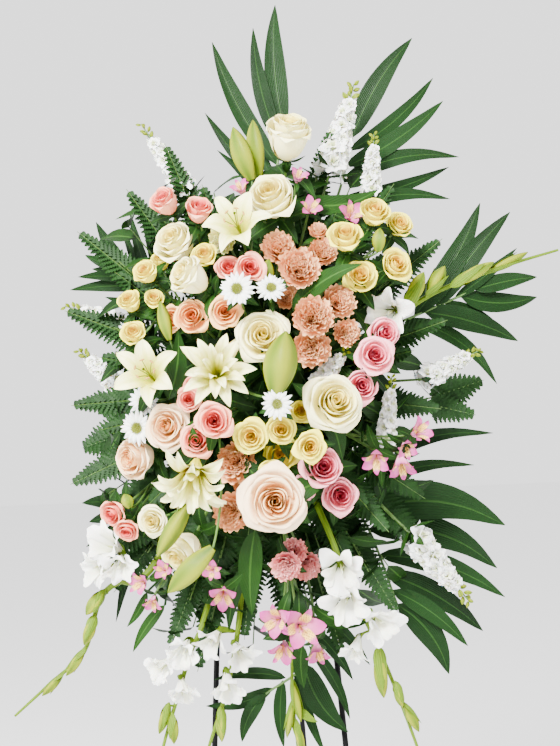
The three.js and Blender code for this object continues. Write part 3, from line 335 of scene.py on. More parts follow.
# The planting plan: where the florist set each plant, in pixels of the picture and millimetres forward.
# Under its kind a head is (across, down, radius, lift, turned right, turned up), a bud is (base across,
# down, tip across, down, width, lift), a leaf is (base across, down, forward, tip across, down, forward,
# width, bow), a fern leaf ends in its pairs instead, and a spike is (foot, tip, radius).
PLAN = {
    "cream_roses_top": {
        "heads": {"rose": [(288, 140, 25, 10, 0.05, 0.85), (272, 199, 26, 10, -0.25, 0.5)]},
    },
    "white_roses_left": {
        "heads": {"rose": [(177, 244, 22, 0, -0.45, 0.5), (192, 279, 20, 20, -0.7, 0.45)]},
    },
    "cream_rose_upper": {
        "heads": {"rose": [(263, 336, 26, 10, 0, 0.25)]},
        "leaves": [(292, 310, 225, 362, 264, 262, 20, -0.08)],
    },
    "cream_rose_right": {"heads": {"rose": [(334, 403, 28, 20, 0.2, 0.25)]}},
    "blush_rose_low": {
        "heads": {"rose": [(275, 501, 30, 40, 0, 0.05)]},
        "leaves": [(255, 530, 180, 252, 615, 160, 24, 0.04), (246, 565, 150, 229, 631, 135, 14, 0.06)],
    },
    "blush_roses_left": {"heads": {"rose": [(168, 427, 22, 5, -0.3, 0.1), (138, 457, 22, 0, -0.65, -0.1)]}},
    "white_roses_low_left": {
        "heads": {"rose": [(184, 549, 22, 10, -0.5, -0.5), (153, 521, 15, -10, -0.3, 0)]},
    },
    "yellow_roses_right": {
        "heads": {"sprayRose": [
            (346, 238, 18, 25, -0.1, 0.6), (374, 214, 17, 15, 0.15, 0.6), (399, 226, 15, 15, 0.3, 0.45),
            (395, 265, 17, 25, 0.35, 0.3), (360, 276, 18, 20, 0.1, 0.3),
        ]},
        "buds": [(378, 252, 380, 228, 12, 22)],
    },
    "yellow_roses_left": {
        "heads": {"sprayRose": [
            (147, 273, 14, 10, -0.4, 0.5), (161, 262, 11, 0, -0.1, 0.7), (130, 303, 13, 10, -0.3, 0.6),
            (154, 299, 11, -5, 0, 0.5), (134, 334, 14, 5, -0.2, 0.5), (205, 256, 14, 5, -0.2, 0.5),
        ]},
    },
    "pink_roses_upper_left": {
        "heads": {"sprayRose": [
            (166, 203, 16, 15, -0.4, 0.6), (199, 212, 15, 5, 0.1, 0.7), (229, 268, 14, 0, 0, 0.4),
            (250, 268, 15, 12, 0.1, 0.2),
        ]},
    },
    "peach_roses_left": {
        "heads": {"sprayRose": [
            (192, 316, 18, 5, -0.15, 0.1), (225, 312, 16, 5, 0, 0.1), (174, 319, 13, -10, -0.5, 0),
        ]},
    },
    "pink_roses_right": {
        "heads": {"sprayRose": [
            (384, 333, 17, 10, 0.3, 0.1), (375, 355, 19, 25, 0.1, 0.15), (362, 386, 17, 0, 0.1, 0.1),
        ]},
    },
    "pink_roses_low_right": {
        "heads": {"sprayRose": [
            (323, 467, 21, 5, 0.1, 0.15), (307, 487, 14, -5, 0.05, -0.1), (340, 495, 19, 5, 0.1, 0),
        ]},
    },
    "coral_roses_centre": {
        "heads": {"sprayRose": [
            (214, 421, 18, 15, 0, 0.1), (197, 440, 17, 5, -0.1, 0), (189, 400, 13, 0, 0, 0.2),
            (192, 384, 9, -15, -0.1, 0.3),
        ]},
    },
    "yellow_roses_centre": {
        "heads": {"sprayRose": [
            (281, 430, 15, 15, 0, 0.15), (280, 455, 17, 0, 0, 0.1), (310, 447, 15, 15, 0.15, 0),
            (271, 471, 13, 12, 0, -0.1), (301, 411, 12, -10, 0.1, 0.1), (251, 437, 17, 15, -0.05, 0.05),
        ]},
    },
    "coral_roses_low_left": {
        "heads": {"sprayRose": [(115, 513, 15, 15, -0.5, -0.3), (128, 529, 13, 10, -0.2, -0.5)]},
        "buds": [(130, 508, 124, 494, 11, 15)],
    },
    "peach_carnations_upper": {
        "heads": {"carnation": [
            (279, 248, 16, 5, 0, 0.3), (299, 268, 19, 15, 0.1, 0.2), (322, 252, 14, 5, 0.2, 0.3),
            (318, 231, 9, 0, 0.1, 0.6),
        ]},
    },
    "peach_carnations_right": {
        "heads": {"carnation": [
            (313, 317, 19, 20, 0.05, 0.1), (339, 302, 16, 5, 0.2, 0.15), (312, 348, 18, -5, 0, -0.1),
            (347, 333, 13, 0, 0.2, 0), (287, 296, 12, -20, 0, 0.1),
        ]},
    },
    "peach_carnations_low": {
        "heads": {"carnation": [
            (235, 463, 19, 5, -0.1, 0.05), (232, 512, 18, 0, -0.1, -0.05), (244, 486, 10, -15, 0, 0),
        ]},
    },
    "pink_carnations": {
        "heads": {"carnation": [
            (286, 566, 14, 10, -0.1, -0.2), (306, 566, 14, 5, 0.1, -0.2), (294, 551, 12, 5, 0, 0.2),
        ]},
    },
    "lily_left": {
        "heads": {"lily": [(147, 372, 31, 16, -0.2, 0.3)]},
        "buds": [(170, 340, 160, 301, 12, 0)],
        "leaves": [(168, 400, 190, 178, 330, 215, 20, 0.06)],
    },
    "lily_centre": {
        "heads": {"lily": [(216, 370, 33, 12, 0, 0.2)]},
        "buds": [(276, 394, 286, 331, 29, 62)],
    },
    "lily_low": {
        "heads": {"lily": [(192, 482, 34, 15, -0.1, -0.6)]},
        "buds": [(213, 548, 168, 593, 19, 95), (188, 505, 157, 557, 16, 52)],
    },
    "lily_top": {
        "heads": {"lily": [(236, 222, 31, 20, -0.2, 0.45)], "carnation": [(222, 240, 13, -5, -0.2, -0.1)]},
        "buds": [(252, 180, 233, 127, 19, -25), (259, 178, 253, 120, 17, -45), (262, 294, 269, 259, 15, 0)],
    },
    "daisies_centre": {
        "fork": 0.3,
        "heads": {"daisy": [
            (277, 404, 15, 70, 0, 0.1), (237, 289, 17, 30, -0.15, 0.3), (271, 288, 15, 30, 0.05, 0.5),
        ]},
    },
    "daisies_left": {
        "fork": 0.88,
        "heads": {"daisy": [(144, 401, 16, 10, -0.3, 0.2), (137, 428, 17, 15, -0.3, 0)]},
    },
    "stock_top_right": {"spikes": [(330, 172, 95, 354, 84, 80, 19), (371, 196, 80, 374, 134, 70, 13)]},
    "stock_top_left": {"spikes": [(186, 190, 80, 141, 124, 65, 14)]},
    "stock_left": {"spikes": [(132, 328, 60, 65, 306, 40, 15), (122, 390, 60, 79, 350, 40, 15)]},
    "stock_centre_right": {
        "spikes": [(318, 384, 190, 349, 348, 205, 12), (385, 446, 140, 392, 376, 140, 13)],
    },
    "stock_right": {"spikes": [(426, 378, 80, 480, 350, 75, 14)]},
    "stock_low_right": {"spikes": [(412, 536, 90, 470, 602, 85, 19)]},
    "gladiolus_right": {
        "stalk": 5.5,
        "spine": [(386, 330, 130), (404, 312, 128), (440, 290, 115), (505, 266, 95), (558, 250, 80)],
        "heads": {"trumpet": [(388, 312, 19, 5, -0.3, -0.1)]},
        "buds": [
            (408, 304, 424, 272, 14, 12), (428, 294, 445, 266, 14, 9), (455, 284, 494, 262, 11, 8),
            (488, 272, 528, 252, 9, 6),
        ],
    },
    "gladiolus_left": {
        "stalk": 5.5,
        "spine": [
            (150, 570, 120), (118, 582, 105), (99, 602, 98), (84, 652, 85), (52, 682, 75), (15, 716, 62),
        ],
        "heads": {"trumpet": [
            (108, 545, 17, 8, -0.5, 0.3), (97, 568, 15, 5, -0.6, -0.2), (120, 566, 15, 8, 0, -0.4),
        ]},
        "buds": [
            (103, 592, 86, 615, 12, 10), (94, 618, 84, 645, 11, 9), (84, 650, 66, 676, 9, 8),
            (62, 675, 42, 696, 8, 7),
        ],
    },
    "gladioli_bottom_left": {
        "stalk": 4.5,
        "spine": [(206, 612, 114), (191, 651, 114), (177, 699, 107), (164, 744, 102), (158, 777, 98)],
        "heads": {"trumpet": [
            (183, 653, 15, 13, -0.2, -0.45), (162, 668, 14, 4, -0.6, -0.4), (183, 692, 13, 9, 0.15, -0.75),
        ]},
        "buds": [(168, 706, 159, 734, 9, 9), (172, 716, 174, 744, 10, 12)],
    },
    "gladioli_bottom": {
        "stalk": 4.5,
        "spine": [(240, 610, 118), (235, 650, 118), (224, 700, 112), (211, 740, 106), (201, 778, 101)],
        "heads": {"trumpet": [
            (212, 642, 14, 4, -0.4, -0.5), (240, 655, 15, 6, 0.3, -0.5), (228, 688, 15, 6, 0.1, -0.7),
        ]},
        "buds": [(221, 710, 222, 742, 10, 10)],
    },
    "gladioli_low_right": {
        "stalk": 4.5,
        "spine": [
            (332, 540, 165), (346, 585, 160), (368, 625, 145), (392, 680, 122), (413, 735, 108),
            (427, 775, 103),
        ],
        "heads": {"trumpet": [
            (341, 570, 19, 4, 0, -0.2), (347, 603, 18, 8, -0.1, -0.4), (379, 622, 17, 6, 0.4, -0.3),
            (355, 650, 12, 4, -0.3, -0.8),
        ]},
        "buds": [(379, 652, 384, 698, 13, 12), (396, 684, 403, 708, 9, 9), (404, 704, 419, 732, 10, 10)],
    },
    "green_spears_bottom": {
        "spine": [(286, 600, 110), (291, 650, 108), (293, 700, 105), (297, 740, 100), (300, 776, 95)],
        "buds": [(292, 680, 301, 722, 9, 9), (293, 700, 287, 738, 8, 9), (295, 722, 304, 756, 8, 8)],
        "leaves": [(296, 706, 108, 318, 722, 112, 9, 0.08)],
    },
    "alstroemeria_bottom": {
        "heads": {"inca": [
            (302, 628, 19, 70, 0.15, 0), (275, 621, 15, 60, -0.3, 0), (283, 652, 13, 55, -0.1, -0.6),
            (318, 655, 12, 50, 0.1, -0.8),
        ]},
        "leaves": [(313, 606, 150, 368, 622, 150, 18, 0.12), (302, 645, 130, 304, 688, 130, 16, 0.05)],
    },
    "alstroemeria_low_left": {
        "heads": {"inca": [
            (152, 604, 9, 30, -0.2, -0.7), (139, 583, 11, 30, -0.5, -0.1), (163, 570, 9, 15, -0.2, 0.2),
            (223, 597, 13, 40, 0, -0.4), (212, 571, 9, 15, -0.1, 0),
        ]},
        "leaves": [(165, 605, 100, 133, 652, 95, 12, 0.05), (147, 592, 95, 127, 627, 90, 9, -0.05)],
    },
    "alstroemeria_right": {
        "heads": {"inca": [
            (376, 461, 13, 10, -0.1, -0.5), (402, 468, 13, 20, 0.1, -0.8), (421, 431, 12, 30, 0.6, 0.3),
            (407, 449, 10, 15, 0.2, -0.5),
        ]},
        "leaves": [(362, 432, 150, 382, 488, 135, 14, -0.1)],
    },
    "alstroemeria_top": {
        "heads": {"inca": [
            (311, 207, 10, -5, 0.2, 0.4), (299, 175, 9, -15, 0.3, 0.7), (240, 187, 9, 5, -0.3, 0.7),
            (352, 213, 12, 0, 0.2, 0.4),
        ]},
        "leaves": [(296, 200, 130, 378, 190, 110, 22, 0.12)],
    },
    "palm_top": {
        "spine": [(276, 250, 60), (274, 190, 50), (284, 128, 35)],
        "leaves": [
            (284, 128, 35, 275, 5, 10, 24, -0.04), (281, 147, 40, 253, 28, 24, 18, -0.05),
            (278, 166, 45, 212, 42, 12, 22, -0.05), (275, 183, 45, 232, 86, -5, 13, -0.02),
            (274, 196, 50, 205, 113, 20, 15, -0.03), (275, 212, 52, 217, 150, 45, 12, 0.03),
        ],
    },
    "palm_top_right": {
        "spine": [(310, 260, 40), (338, 195, 35), (352, 138, 20)],
        "leaves": [
            (352, 138, 20, 412, 38, 10, 24, -0.05), (349, 151, 25, 433, 78, -6, 17, 0.06),
            (345, 167, 30, 443, 101, 14, 22, 0.05), (341, 183, 32, 459, 157, 26, 19, -0.1),
            (335, 202, 35, 449, 167, -5, 16, 0.04), (328, 218, 37, 450, 199, 20, 18, -0.1),
        ],
    },
    "palm_right": {
        "spine": [(335, 345, 40), (400, 322, 35), (474, 290, 15)],
        "leaves": [
            (474, 290, 15, 537, 277, 8, 20, -0.03), (460, 296, 19, 537, 297, -6, 24, 0.08),
            (454, 299, 21, 517, 248, 0, 12, 0.02), (444, 303, 24, 503, 330, 0, 15, -0.04),
            (436, 307, 26, 510, 212, 16, 24, -0.03), (424, 312, 29, 518, 341, 24, 26, -0.05),
            (414, 316, 31, 480, 203, 8, 26, 0.05), (404, 320, 34, 497, 384, 14, 18, -0.12),
        ],
    },
    "palm_low_right": {
        "spine": [(338, 490, 26), (368, 528, 22), (397, 604, 35)],
        "leaves": [
            (397, 604, 35, 449, 674, 25, 28, -0.1), (392, 590, 32, 468, 646, 44, 20, -0.06),
            (386, 574, 30, 483, 631, 16, 27, -0.06), (378, 555, 27, 505, 597, 32, 24, -0.08),
            (368, 530, 22, 497, 568, 4, 34, -0.12), (356, 513, 23, 505, 525, 20, 44, -0.12),
            (347, 501, 24, 474, 465, -6, 16, -0.1), (339, 491, 26, 493, 433, 14, 20, -0.12),
        ],
    },
    "palm_bottom": {
        "spine": [(290, 520, 60), (312, 600, 85), (308, 660, 90), (266, 694, 85)],
        "leaves": [
            (312, 608, 85, 370, 665, 75, 14, -0.05), (311, 628, 87, 353, 680, 98, 13, -0.05),
            (309, 646, 89, 350, 719, 76, 13, -0.06), (304, 663, 90, 348, 732, 98, 28, 0.1),
            (295, 671, 89, 326, 756, 82, 12, 0.03), (283, 680, 87, 284, 748, 94, 14, 0.05),
            (266, 694, 85, 242, 742, 78, 16, 0.1), (273, 688, 86, 206, 706, 66, 15, -0.08),
            (286, 678, 88, 214, 680, 92, 13, 0.08),
        ],
    },
    "palm_left": {
        "spine": [(225, 330, 40), (180, 305, 35), (118, 268, 12)],
        "leaves": [
            (118, 268, 12, 85, 255, 5, 12, -0.03), (124, 272, 14, 92, 269, -8, 10, 0),
            (131, 276, 17, 96, 222, 5, 15, -0.03), (137, 279, 20, 78, 277, 12, 13, 0.03),
            (143, 283, 22, 121, 225, -5, 9, 0), (149, 287, 25, 70, 290, -2, 15, 0.03),
            (155, 290, 27, 130, 212, 10, 12, -0.03), (163, 295, 30, 142, 219, 0, 12, 0.02),
            (170, 299, 32, 105, 297, 36, 13, -0.08),
        ],
    },
    "palm_low_left": {
        "spine": [(220, 470, 26), (170, 490, 26), (132, 518, 34)],
        "leaves": [
            (132, 518, 34, 89, 522, 24, 16, 0.06), (140, 512, 32, 82, 503, 40, 20, 0.08),
            (147, 507, 31, 86, 547, 14, 12, 0), (155, 501, 29, 80, 566, 30, 11, 0.04),
            (163, 495, 27, 84, 581, 0, 12, 0.04), (172, 489, 26, 116, 622, 45, 14, 0.06),
        ],
    },
    "fern_left": {
        "spine": [(215, 410, 30), (165, 425, 30), (146, 429, 30)],
        "ferns": [
            (130, 432, 30, 82, 448, 10, 60, 5), (134, 438, 34, 95, 478, 24, 44, 4),
            (136, 424, 26, 97, 405, 6, 34, 3),
        ],
    },
    "fern_right": {
        "spine": [(330, 400, 30), (390, 400, 30), (414, 401, 30)],
        "ferns": [(430, 398, 28, 484, 380, 12, 50, 5), (428, 404, 34, 476, 415, 28, 40, 4)],
    },
}
# How much room a head of each kind needs round its middle and behind it, in units of its radius
GIRTH = {"rose": 0.98, "sprayRose": 1.04, "carnation": 0.95, "daisy": 0.9}
GIRTH |= {"lily": 0.88, "inca": 0.75, "trumpet": 0.8}
DEPTH = {"rose": 0.75, "sprayRose": 0.85, "carnation": 1.05, "daisy": 0.25}
DEPTH |= {"lily": 1.05, "inca": 1.25, "trumpet": 1.35}
DOME = {"across": 265, "down": 385, "half_width": 195, "half_height": 300, "rim": 55, "rise": 185}
SETTLE_STEPS = 60


def facing(right, up):
    """The way a head faces that is turned right and up in the picture."""
    ahead = math.sqrt(max(0.02, 1 - right * right - up * up))
    way = RIGHT * right + UP * up + NEAR * ahead
    return way / np.linalg.norm(way)


def dome_at(across, down):
    """How far forward the flowers stand over a pixel: a dome, fullest in the middle."""
    u = (across - DOME["across"]) / DOME["half_width"]
    v = (down - DOME["down"]) / DOME["half_height"]
    return DOME["rim"] + DOME["rise"] * math.sqrt(max(0, 1 - u * u - v * v))


def stands_at(plant, across, down):
    """How far forward a plant stands over a pixel: along its spine if it has one, or on the dome."""
    if "spine" not in plant:
        return dome_at(across, down)
    best = None
    for start, end in zip(plant["spine"], plant["spine"][1:]):
        from_, to, point = np.array(start[:2], float), np.array(end[:2], float), np.array([across, down])
        share = min(1, max(0, (point - from_) @ (to - from_) / ((to - from_) @ (to - from_))))
        away = np.linalg.norm(from_ + (to - from_) * share - point)
        if best is None or away < best[0]:
            best = (away, start[2] + (end[2] - start[2]) * share)
    return best[1]


def settle():
    """Each head's place in depth. Heads that would touch are moved apart along the line of sight."""
    heads = []
    rows = [
        (name, plant, kind, *place)
        for name, plant in PLAN.items()
        for kind, places in plant.get("heads", {}).items()
        for place in places
    ]
    for name, plant, kind, across, down, pixels, lift, right, up in rows:
        radius = pixels * PIXEL * 1000
        forward = stands_at(plant, across, down) + lift
        if "spine" in plant:
            forward += DEPTH[kind] * radius * (facing(right, up) @ NEAR)
        heads.append({
            "plant": name, "kind": kind, "across": across, "down": down,
            "radius": radius, "forward": forward, "axis": facing(right, up), "right": right, "up": up,
        })
    for _ in range(SETTLE_STEPS):
        for i, first in enumerate(heads):
            for second in heads[i + 1:]:
                aside = math.hypot(first["across"] - second["across"], first["down"] - second["down"])
                aside *= PIXEL * 1000
                reach = first["radius"] * GIRTH[first["kind"]] + second["radius"] * GIRTH[second["kind"]]
                if aside >= reach:
                    continue
                needed = math.sqrt(reach * reach - aside * aside)
                apart = first["forward"] - second["forward"]
                if abs(apart) >= needed:
                    continue
                push = (needed - abs(apart)) / 4 * (1 if apart >= 0 else -1)
                first["forward"] += push
                second["forward"] -= push
    return heads


for head in settle():
    head["centre"] = spot(head["across"], head["down"], head["forward"])
    head["radius"] /= 1000
    PLAN[head["plant"]].setdefault("placed", []).append(head)

# The stems: green stalks that run from inside the foam to each bloom. Side stalks fork from the main one.
# Every stem aims at one point a little behind the middle of the foam, which makes the spray fan out.
STEM_DEPTH = 0.026
FOCUS_BACK = 0.016
MAIN_STEM = 0.0026
SIDE_STEM = 0.0017
FORK_FIRST, FORK_SPREAD = 0.7, 0.24
LEAN = math.radians(14)
BRICK_HALF = np.array([0.115, 0.04, 0.11035])
lean_back = np.array([
    [1, 0, 0],
    [0, math.cos(LEAN), math.sin(LEAN)],
    [0, -math.sin(LEAN), math.cos(LEAN)],
])
focus = foam_middle + lean_back @ np.array([0, FOCUS_BACK, 0])


def unit(vector):
    return vector / np.linalg.norm(vector)


def foam_exit(target):
    """Where the straight line from the stems' focus to a target leaves the foam."""
    start = lean_back.T @ (focus - foam_middle)
    way = lean_back.T @ (target - foam_middle) - start
    shares = (np.sign(way) * BRICK_HALF - start) / np.where(way == 0, 1e-9, way)
    return focus + (target - focus) * min(s for s in shares if s > 0)


def nearest_on(line, target):
    """The point of a line of points that is nearest to a target."""
    best = line[0]
    for start, end in zip(line, line[1:]):
        share = min(1, max(0, (target - start) @ (end - start) / ((end - start) @ (end - start))))
        point = start + (end - start) * share
        if np.linalg.norm(point - target) < np.linalg.norm(best - target):
            best = point
    return best


def curve(path, steps=6):
    """A line of points made smooth."""
    path = np.asarray(path, float)
    ends = np.vstack([2 * path[0] - path[1], path, 2 * path[-1] - path[-2]])
    points = []
    for a, b, c, d in zip(ends, ends[1:], ends[2:], ends[3:]):
        for t in np.linspace(0, 1, steps, endpoint=False):
            bent = (2 * a - 5 * b + 4 * c - d) * t**2
            points.append(0.5 * (2 * b + (c - a) * t + bent + (3 * b - a - 3 * c + d) * t**3))
    return np.array([*points, path[-1]])


def frame_round(axis, spin=0.0):
    """Three directions as rows, the last along the axis, turned about it by spin."""
    hint = np.array([0.0, 0.0, 1.0]) if abs(axis[2]) < 0.9 else np.array([0.0, 1.0, 0.0])
    side = unit(np.cross(hint, axis))
    other = np.cross(axis, side)
    return np.array([
        side * math.cos(spin) + other * math.sin(spin),
        other * math.cos(spin) - side * math.sin(spin),
        axis,
    ])


def on_bloom(head, ways, points):
    """Points given in a bloom's own directions and in radii, put where the bloom is."""
    return head["centre"] + head["radius"] * np.asarray(points) @ ways


def outward(turn):
    return np.array([math.cos(turn), math.sin(turn), 0])


class Stems:
    """A plant's stems, and where its side stalks leave them."""

    def __init__(self, cutting, plant, finish, first, side_stalks):
        self.spine = [spot(*point) for point in plant.get("spine", [])]
        self.first = self.spine[0] if self.spine else first
        self.fork = plant.get("fork", FORK_FIRST)
        self.side_stalks = side_stalks
        self.forks = 0
        thick = plant.get("stalk", MAIN_STEM * 1000) / 1000
        root = foam_exit(self.first) - unit(self.first - focus) * STEM_DEPTH
        line = curve([root, *self.spine]) if self.spine else np.linspace(root, self.first, 8)
        radii = np.linspace(thick, SIDE_STEM, len(line))
        cutting.tube(line, radii, finish, 9)

    def foot(self, end):
        if self.spine:
            return nearest_on(self.spine, end)
        share = self.fork + FORK_SPREAD * self.forks / max(1, self.side_stalks)
        self.forks += 1
        return focus + (self.first - focus) * share


def stalk_to(cutting, foot, end, axis, finish):
    """A side stalk that leaves its foot straight and meets a bloom along the bloom's own axis."""
    length = np.linalg.norm(end - foot)
    if length < SIDE_STEM:
        return
    bend = end - axis * length * 0.25
    t = np.linspace(0, 1, 9)[:, None]
    path = foot * (1 - t) ** 2 + 2 * ((foot + end) / 2 * 0.6 + bend * 0.4) * t * (1 - t) + end * t**2
    cutting.tube(path, np.linspace(SIDE_STEM, SIDE_STEM * 0.85, 9), finish, 7)


stem_green = Finish("green_stem", Roughness=0.5, Subsurface_Weight=0.05, Subsurface_Scale=0.002)
along_stem = stem_green.speckle(120, 3)
stem_green.feed(Base_Color=stem_green.blend(along_stem, (0.02, 0.06, 0.007), (0.08, 0.17, 0.018)))
stem_green.bump(stem_green.speckle(900, 2), 0.0003, 0.5)

# The leaves: glossy blades with a fold at the rib and fine veins, cut from ruscus, lily and rose stalks.
# Short ones make a collar under each bloom and hide the foam.
leaf_green = Finish("glossy_leaf", Specular_IOR_Level=0.08, Subsurface_Weight=0.06, Subsurface_Scale=0.002)
leaf_along, leaf_across, leaf_tint = leaf_green.marks()
leaf_rib = leaf_green.middle_line(leaf_across, 0.02, 0.14)
leaf_shade = (leaf_green.speckle(35, 3) * 0.6 + leaf_tint * 0.7) - 0.1
leaf_colour = leaf_green.blend(leaf_shade, (0.002, 0.008, 0.002), (0.014, 0.052, 0.005))
leaf_green.feed(Base_Color=leaf_green.blend(leaf_rib * 0.45, leaf_colour, (0.05, 0.14, 0.02)))
leaf_green.feed(Roughness=0.32 + leaf_green.speckle(150, 2) * 0.25)
leaf_vein = leaf_green.sine(leaf_across * 26 + leaf_along * 70)
leaf_green.bump(leaf_vein * 0.35 + leaf_rib, 0.0005, 0.55)


def blade(cutting, points, width, face, finish, depth=0.5, fold=0.25, rows=14, columns=7, wave=0.0):
    """A leaf blade along a smooth line of points, pointed at its tip and folded up at its rib."""
    line = curve(points, 8)
    steps = np.linspace(0, len(line) - 1, rows)
    after = [min(len(line) - 1, int(s) + 1) for s in steps]
    line = np.array([line[int(s)] + (line[k] - line[int(s)]) * (s % 1) for s, k in zip(steps, after)])
    t = np.linspace(0, 1, rows)
    half = width / 2 * np.maximum(0.02, np.sin(np.pi * t**0.8) ** 0.75 * (1 - 0.25 * t))
    ways = each_unit(np.gradient(line, axis=0))
    side = each_unit(np.cross(ways, face))
    rise = np.cross(side, ways)
    v = np.linspace(-1, 1, columns)[None, :, None]
    ripple = wave * np.sin(9 * t + 1.5)[:, None, None] * v**2
    grid = line[:, None] + side[:, None] * half[:, None, None] * v
    grid = grid + rise[:, None] * half[:, None, None] * (fold * np.abs(v) ** 1.3 + ripple)
    cutting.sheet(grid, finish, depth=depth)


def leaf(cutting, origin, spec, finish, dice):
    """A leaf from the plan, with its stalk from where it leaves the stem."""
    x1, y1, f1, x2, y2, f2, width, bow = spec
    base, tip = spot(x1, y1, f1), spot(x2, y2, f2)
    along = tip - base
    sag = unit(np.cross(unit(along), NEAR)) * bow * np.linalg.norm(along) * 4
    path = [base + along * t + sag * t * (1 - t) for t in (0, 0.25, 0.5, 0.75, 1)]
    if np.linalg.norm(origin - base) > SIDE_STEM:
        cutting.tube(np.linspace(origin, base, 4), SIDE_STEM, finish, 6)
    face = unit(NEAR + UP * 0.35 + RIGHT * dice.uniform(-0.25, 0.25))
    blade(cutting, path, width * PIXEL * 1.04, face, finish, dice.uniform(0.2, 0.8), 0.22, wave=0.06)


def collar(cutting, head, dice, count, reach):
    """A few leaves round the stalk behind a bloom."""
    centre, axis, radius = head["centre"], head["axis"], head["radius"]
    ways = frame_round(axis, dice.uniform(0, 6))
    for k in range(count):
        turn = 2 * math.pi * (k + dice.uniform(-0.25, 0.25)) / count
        out = ways[0] * math.cos(turn) + ways[1] * math.sin(turn)
        start = centre - axis * radius * dice.uniform(1.0, 1.6)
        length = radius * reach * dice.uniform(0.85, 1.2)
        path = [
            start,
            start + out * length * 0.5 + axis * length * 0.05,
            start + out * length - axis * length * dice.uniform(0.0, 0.35),
        ]
        blade(cutting, path, length * 0.46, axis, 2, dice.uniform(0.1, 0.7), 0.2, 9, 5, 0.08)


# The garden roses: ivory, cream and blush blooms of about thirty petals. Each petal is cupped, its rim
# rolls outwards, and the petals wrap round each other in rings from a tight heart.
ROSE_RINGS = (
    # petals, rim, height, lip, half its spread in radians
    (2, 0.1, 0.5, 0.0, 2.6),
    (3, 0.17, 0.52, 0.03, 1.7),
    (3, 0.27, 0.54, 0.05, 1.45),
    (4, 0.38, 0.5, 0.07, 1.15),
    (4, 0.52, 0.42, 0.1, 1.1),
    (5, 0.68, 0.3, 0.16, 0.9),
    (5, 0.78, 0.1, 0.21, 0.86),
)


def swept(profile, share):
    """How far out and up a petal is at each share of its length, by a profile of four points."""
    a, b, c, d = (np.array(p) for p in profile)
    t = share[..., None]
    place = a * (1 - t) ** 3 + 3 * b * t * (1 - t) ** 2 + 3 * c * t**2 * (1 - t) + d * t**3
    return np.moveaxis(place, -1, 0)


def cupped_petal(turn, spread, profile, rows, columns, dice, round_off=0.2, wave=0.03, tilt=0.03, point=0.0):
    """A petal's grid about the flower's axis: a profile of four (out, up) points, swept to both sides."""
    u, v = np.meshgrid(np.linspace(0, 1, rows), np.linspace(-1, 1, columns), indexing="ij")
    reach = u * (1 - round_off * np.abs(v) ** 2.4 + point * (1 - np.abs(v)) ** 2)
    out, up = swept(profile, reach)
    wide = 0.28 + 0.72 * np.sin(np.minimum(1, 1.25 * reach) * math.pi / 2)
    angle = turn + v * spread * wide
    ruffle = np.sin(v * dice.uniform(2.5, 5) + dice.uniform(0, 6)) * wave * reach**3
    out = out * (1 + 0.04 * v**2) + tilt * v * reach + ruffle
    up = up + np.sin(v * dice.uniform(2, 4) + dice.uniform(0, 6)) * wave * reach**3
    return np.stack([out * np.cos(angle), out * np.sin(angle), up], axis=-1), reach, v


def rose_head(cutting, head, dice, rings=ROSE_RINGS, detail=(10, 11)):
    """A rose: each ring of petals stands a little off centre, so that the heart is never quite round.
    A rose seen from its side is a bud, taller and more closed."""
    ways = frame_round(head["axis"], dice.uniform(0, 6))
    side_on = min(1, max(0, (math.hypot(head["right"], head["up"]) - 0.3) / 0.5))
    tall = 1 + 0.35 * side_on
    for order, (count, rim, height, lip, spread) in enumerate(rings):
        start = dice.uniform(0, 6)
        heart = 1 - order / (len(rings) - 1)
        shift = np.array([dice.uniform(-0.035, 0.035), dice.uniform(-0.035, 0.035), 0]) * (1 - heart * 0.5)
        for k in range(count):
            turn = start + 2 * math.pi * k / count + dice.uniform(-0.16, 0.16)
            size = dice.uniform(0.92, 1.06)
            top = (height + 0.3 * side_on * (1 - heart)) * tall + dice.uniform(-0.05, 0.05)
            rolled = lip * dice.uniform(0.5, 1.4) * (1 - 0.5 * side_on)
            foot = -0.62 * tall
            belly = max(rim * (1.05 - 0.1 * side_on), 0.1)
            edge = ((rim + rolled) * size, top - rolled)
            profile = ((0.05, foot), (belly, foot + 0.14), (rim, top + 0.12), edge)
            outer = 1 - heart
            grid, reach, v = cupped_petal(
                turn, spread, profile, *detail, dice, 0.16 + 0.1 * outer, 0.035, 0.05, 0.12 * outer
            )
            grid[..., 2] -= rolled * 0.7 * np.abs(v) ** 3 * reach**4
            cutting.sheet(on_bloom(head, ways, grid + shift), 0, reach, v, heart)
    calyx(cutting, head, ways, dice, tall)


def calyx(cutting, head, ways, dice, tall):
    """The green cup under a rose, with five narrow sepals folded back."""
    hip = [(0, 0, z) for z in (-0.98 * tall, -0.86 * tall, -0.72 * tall, -0.58 * tall)]
    place = on_bloom(head, ways, hip)
    cutting.tube(place, head["radius"] * np.array([0.07, 0.17, 0.2, 0.1]), 2, 9)
    for k in range(5):
        turn = 2 * math.pi * k / 5 + dice.uniform(-0.2, 0.2)
        out = outward(turn)
        steps = ((0.1, -0.68), (0.42, -0.62), (0.72, -0.5))
        path = [out * away + (0, 0, up * tall) for away, up in steps]
        points = on_bloom(head, ways, path)
        blade(cutting, points, head["radius"] * 0.22, -head["axis"], 2, 0.7, 0.1, 6, 3)


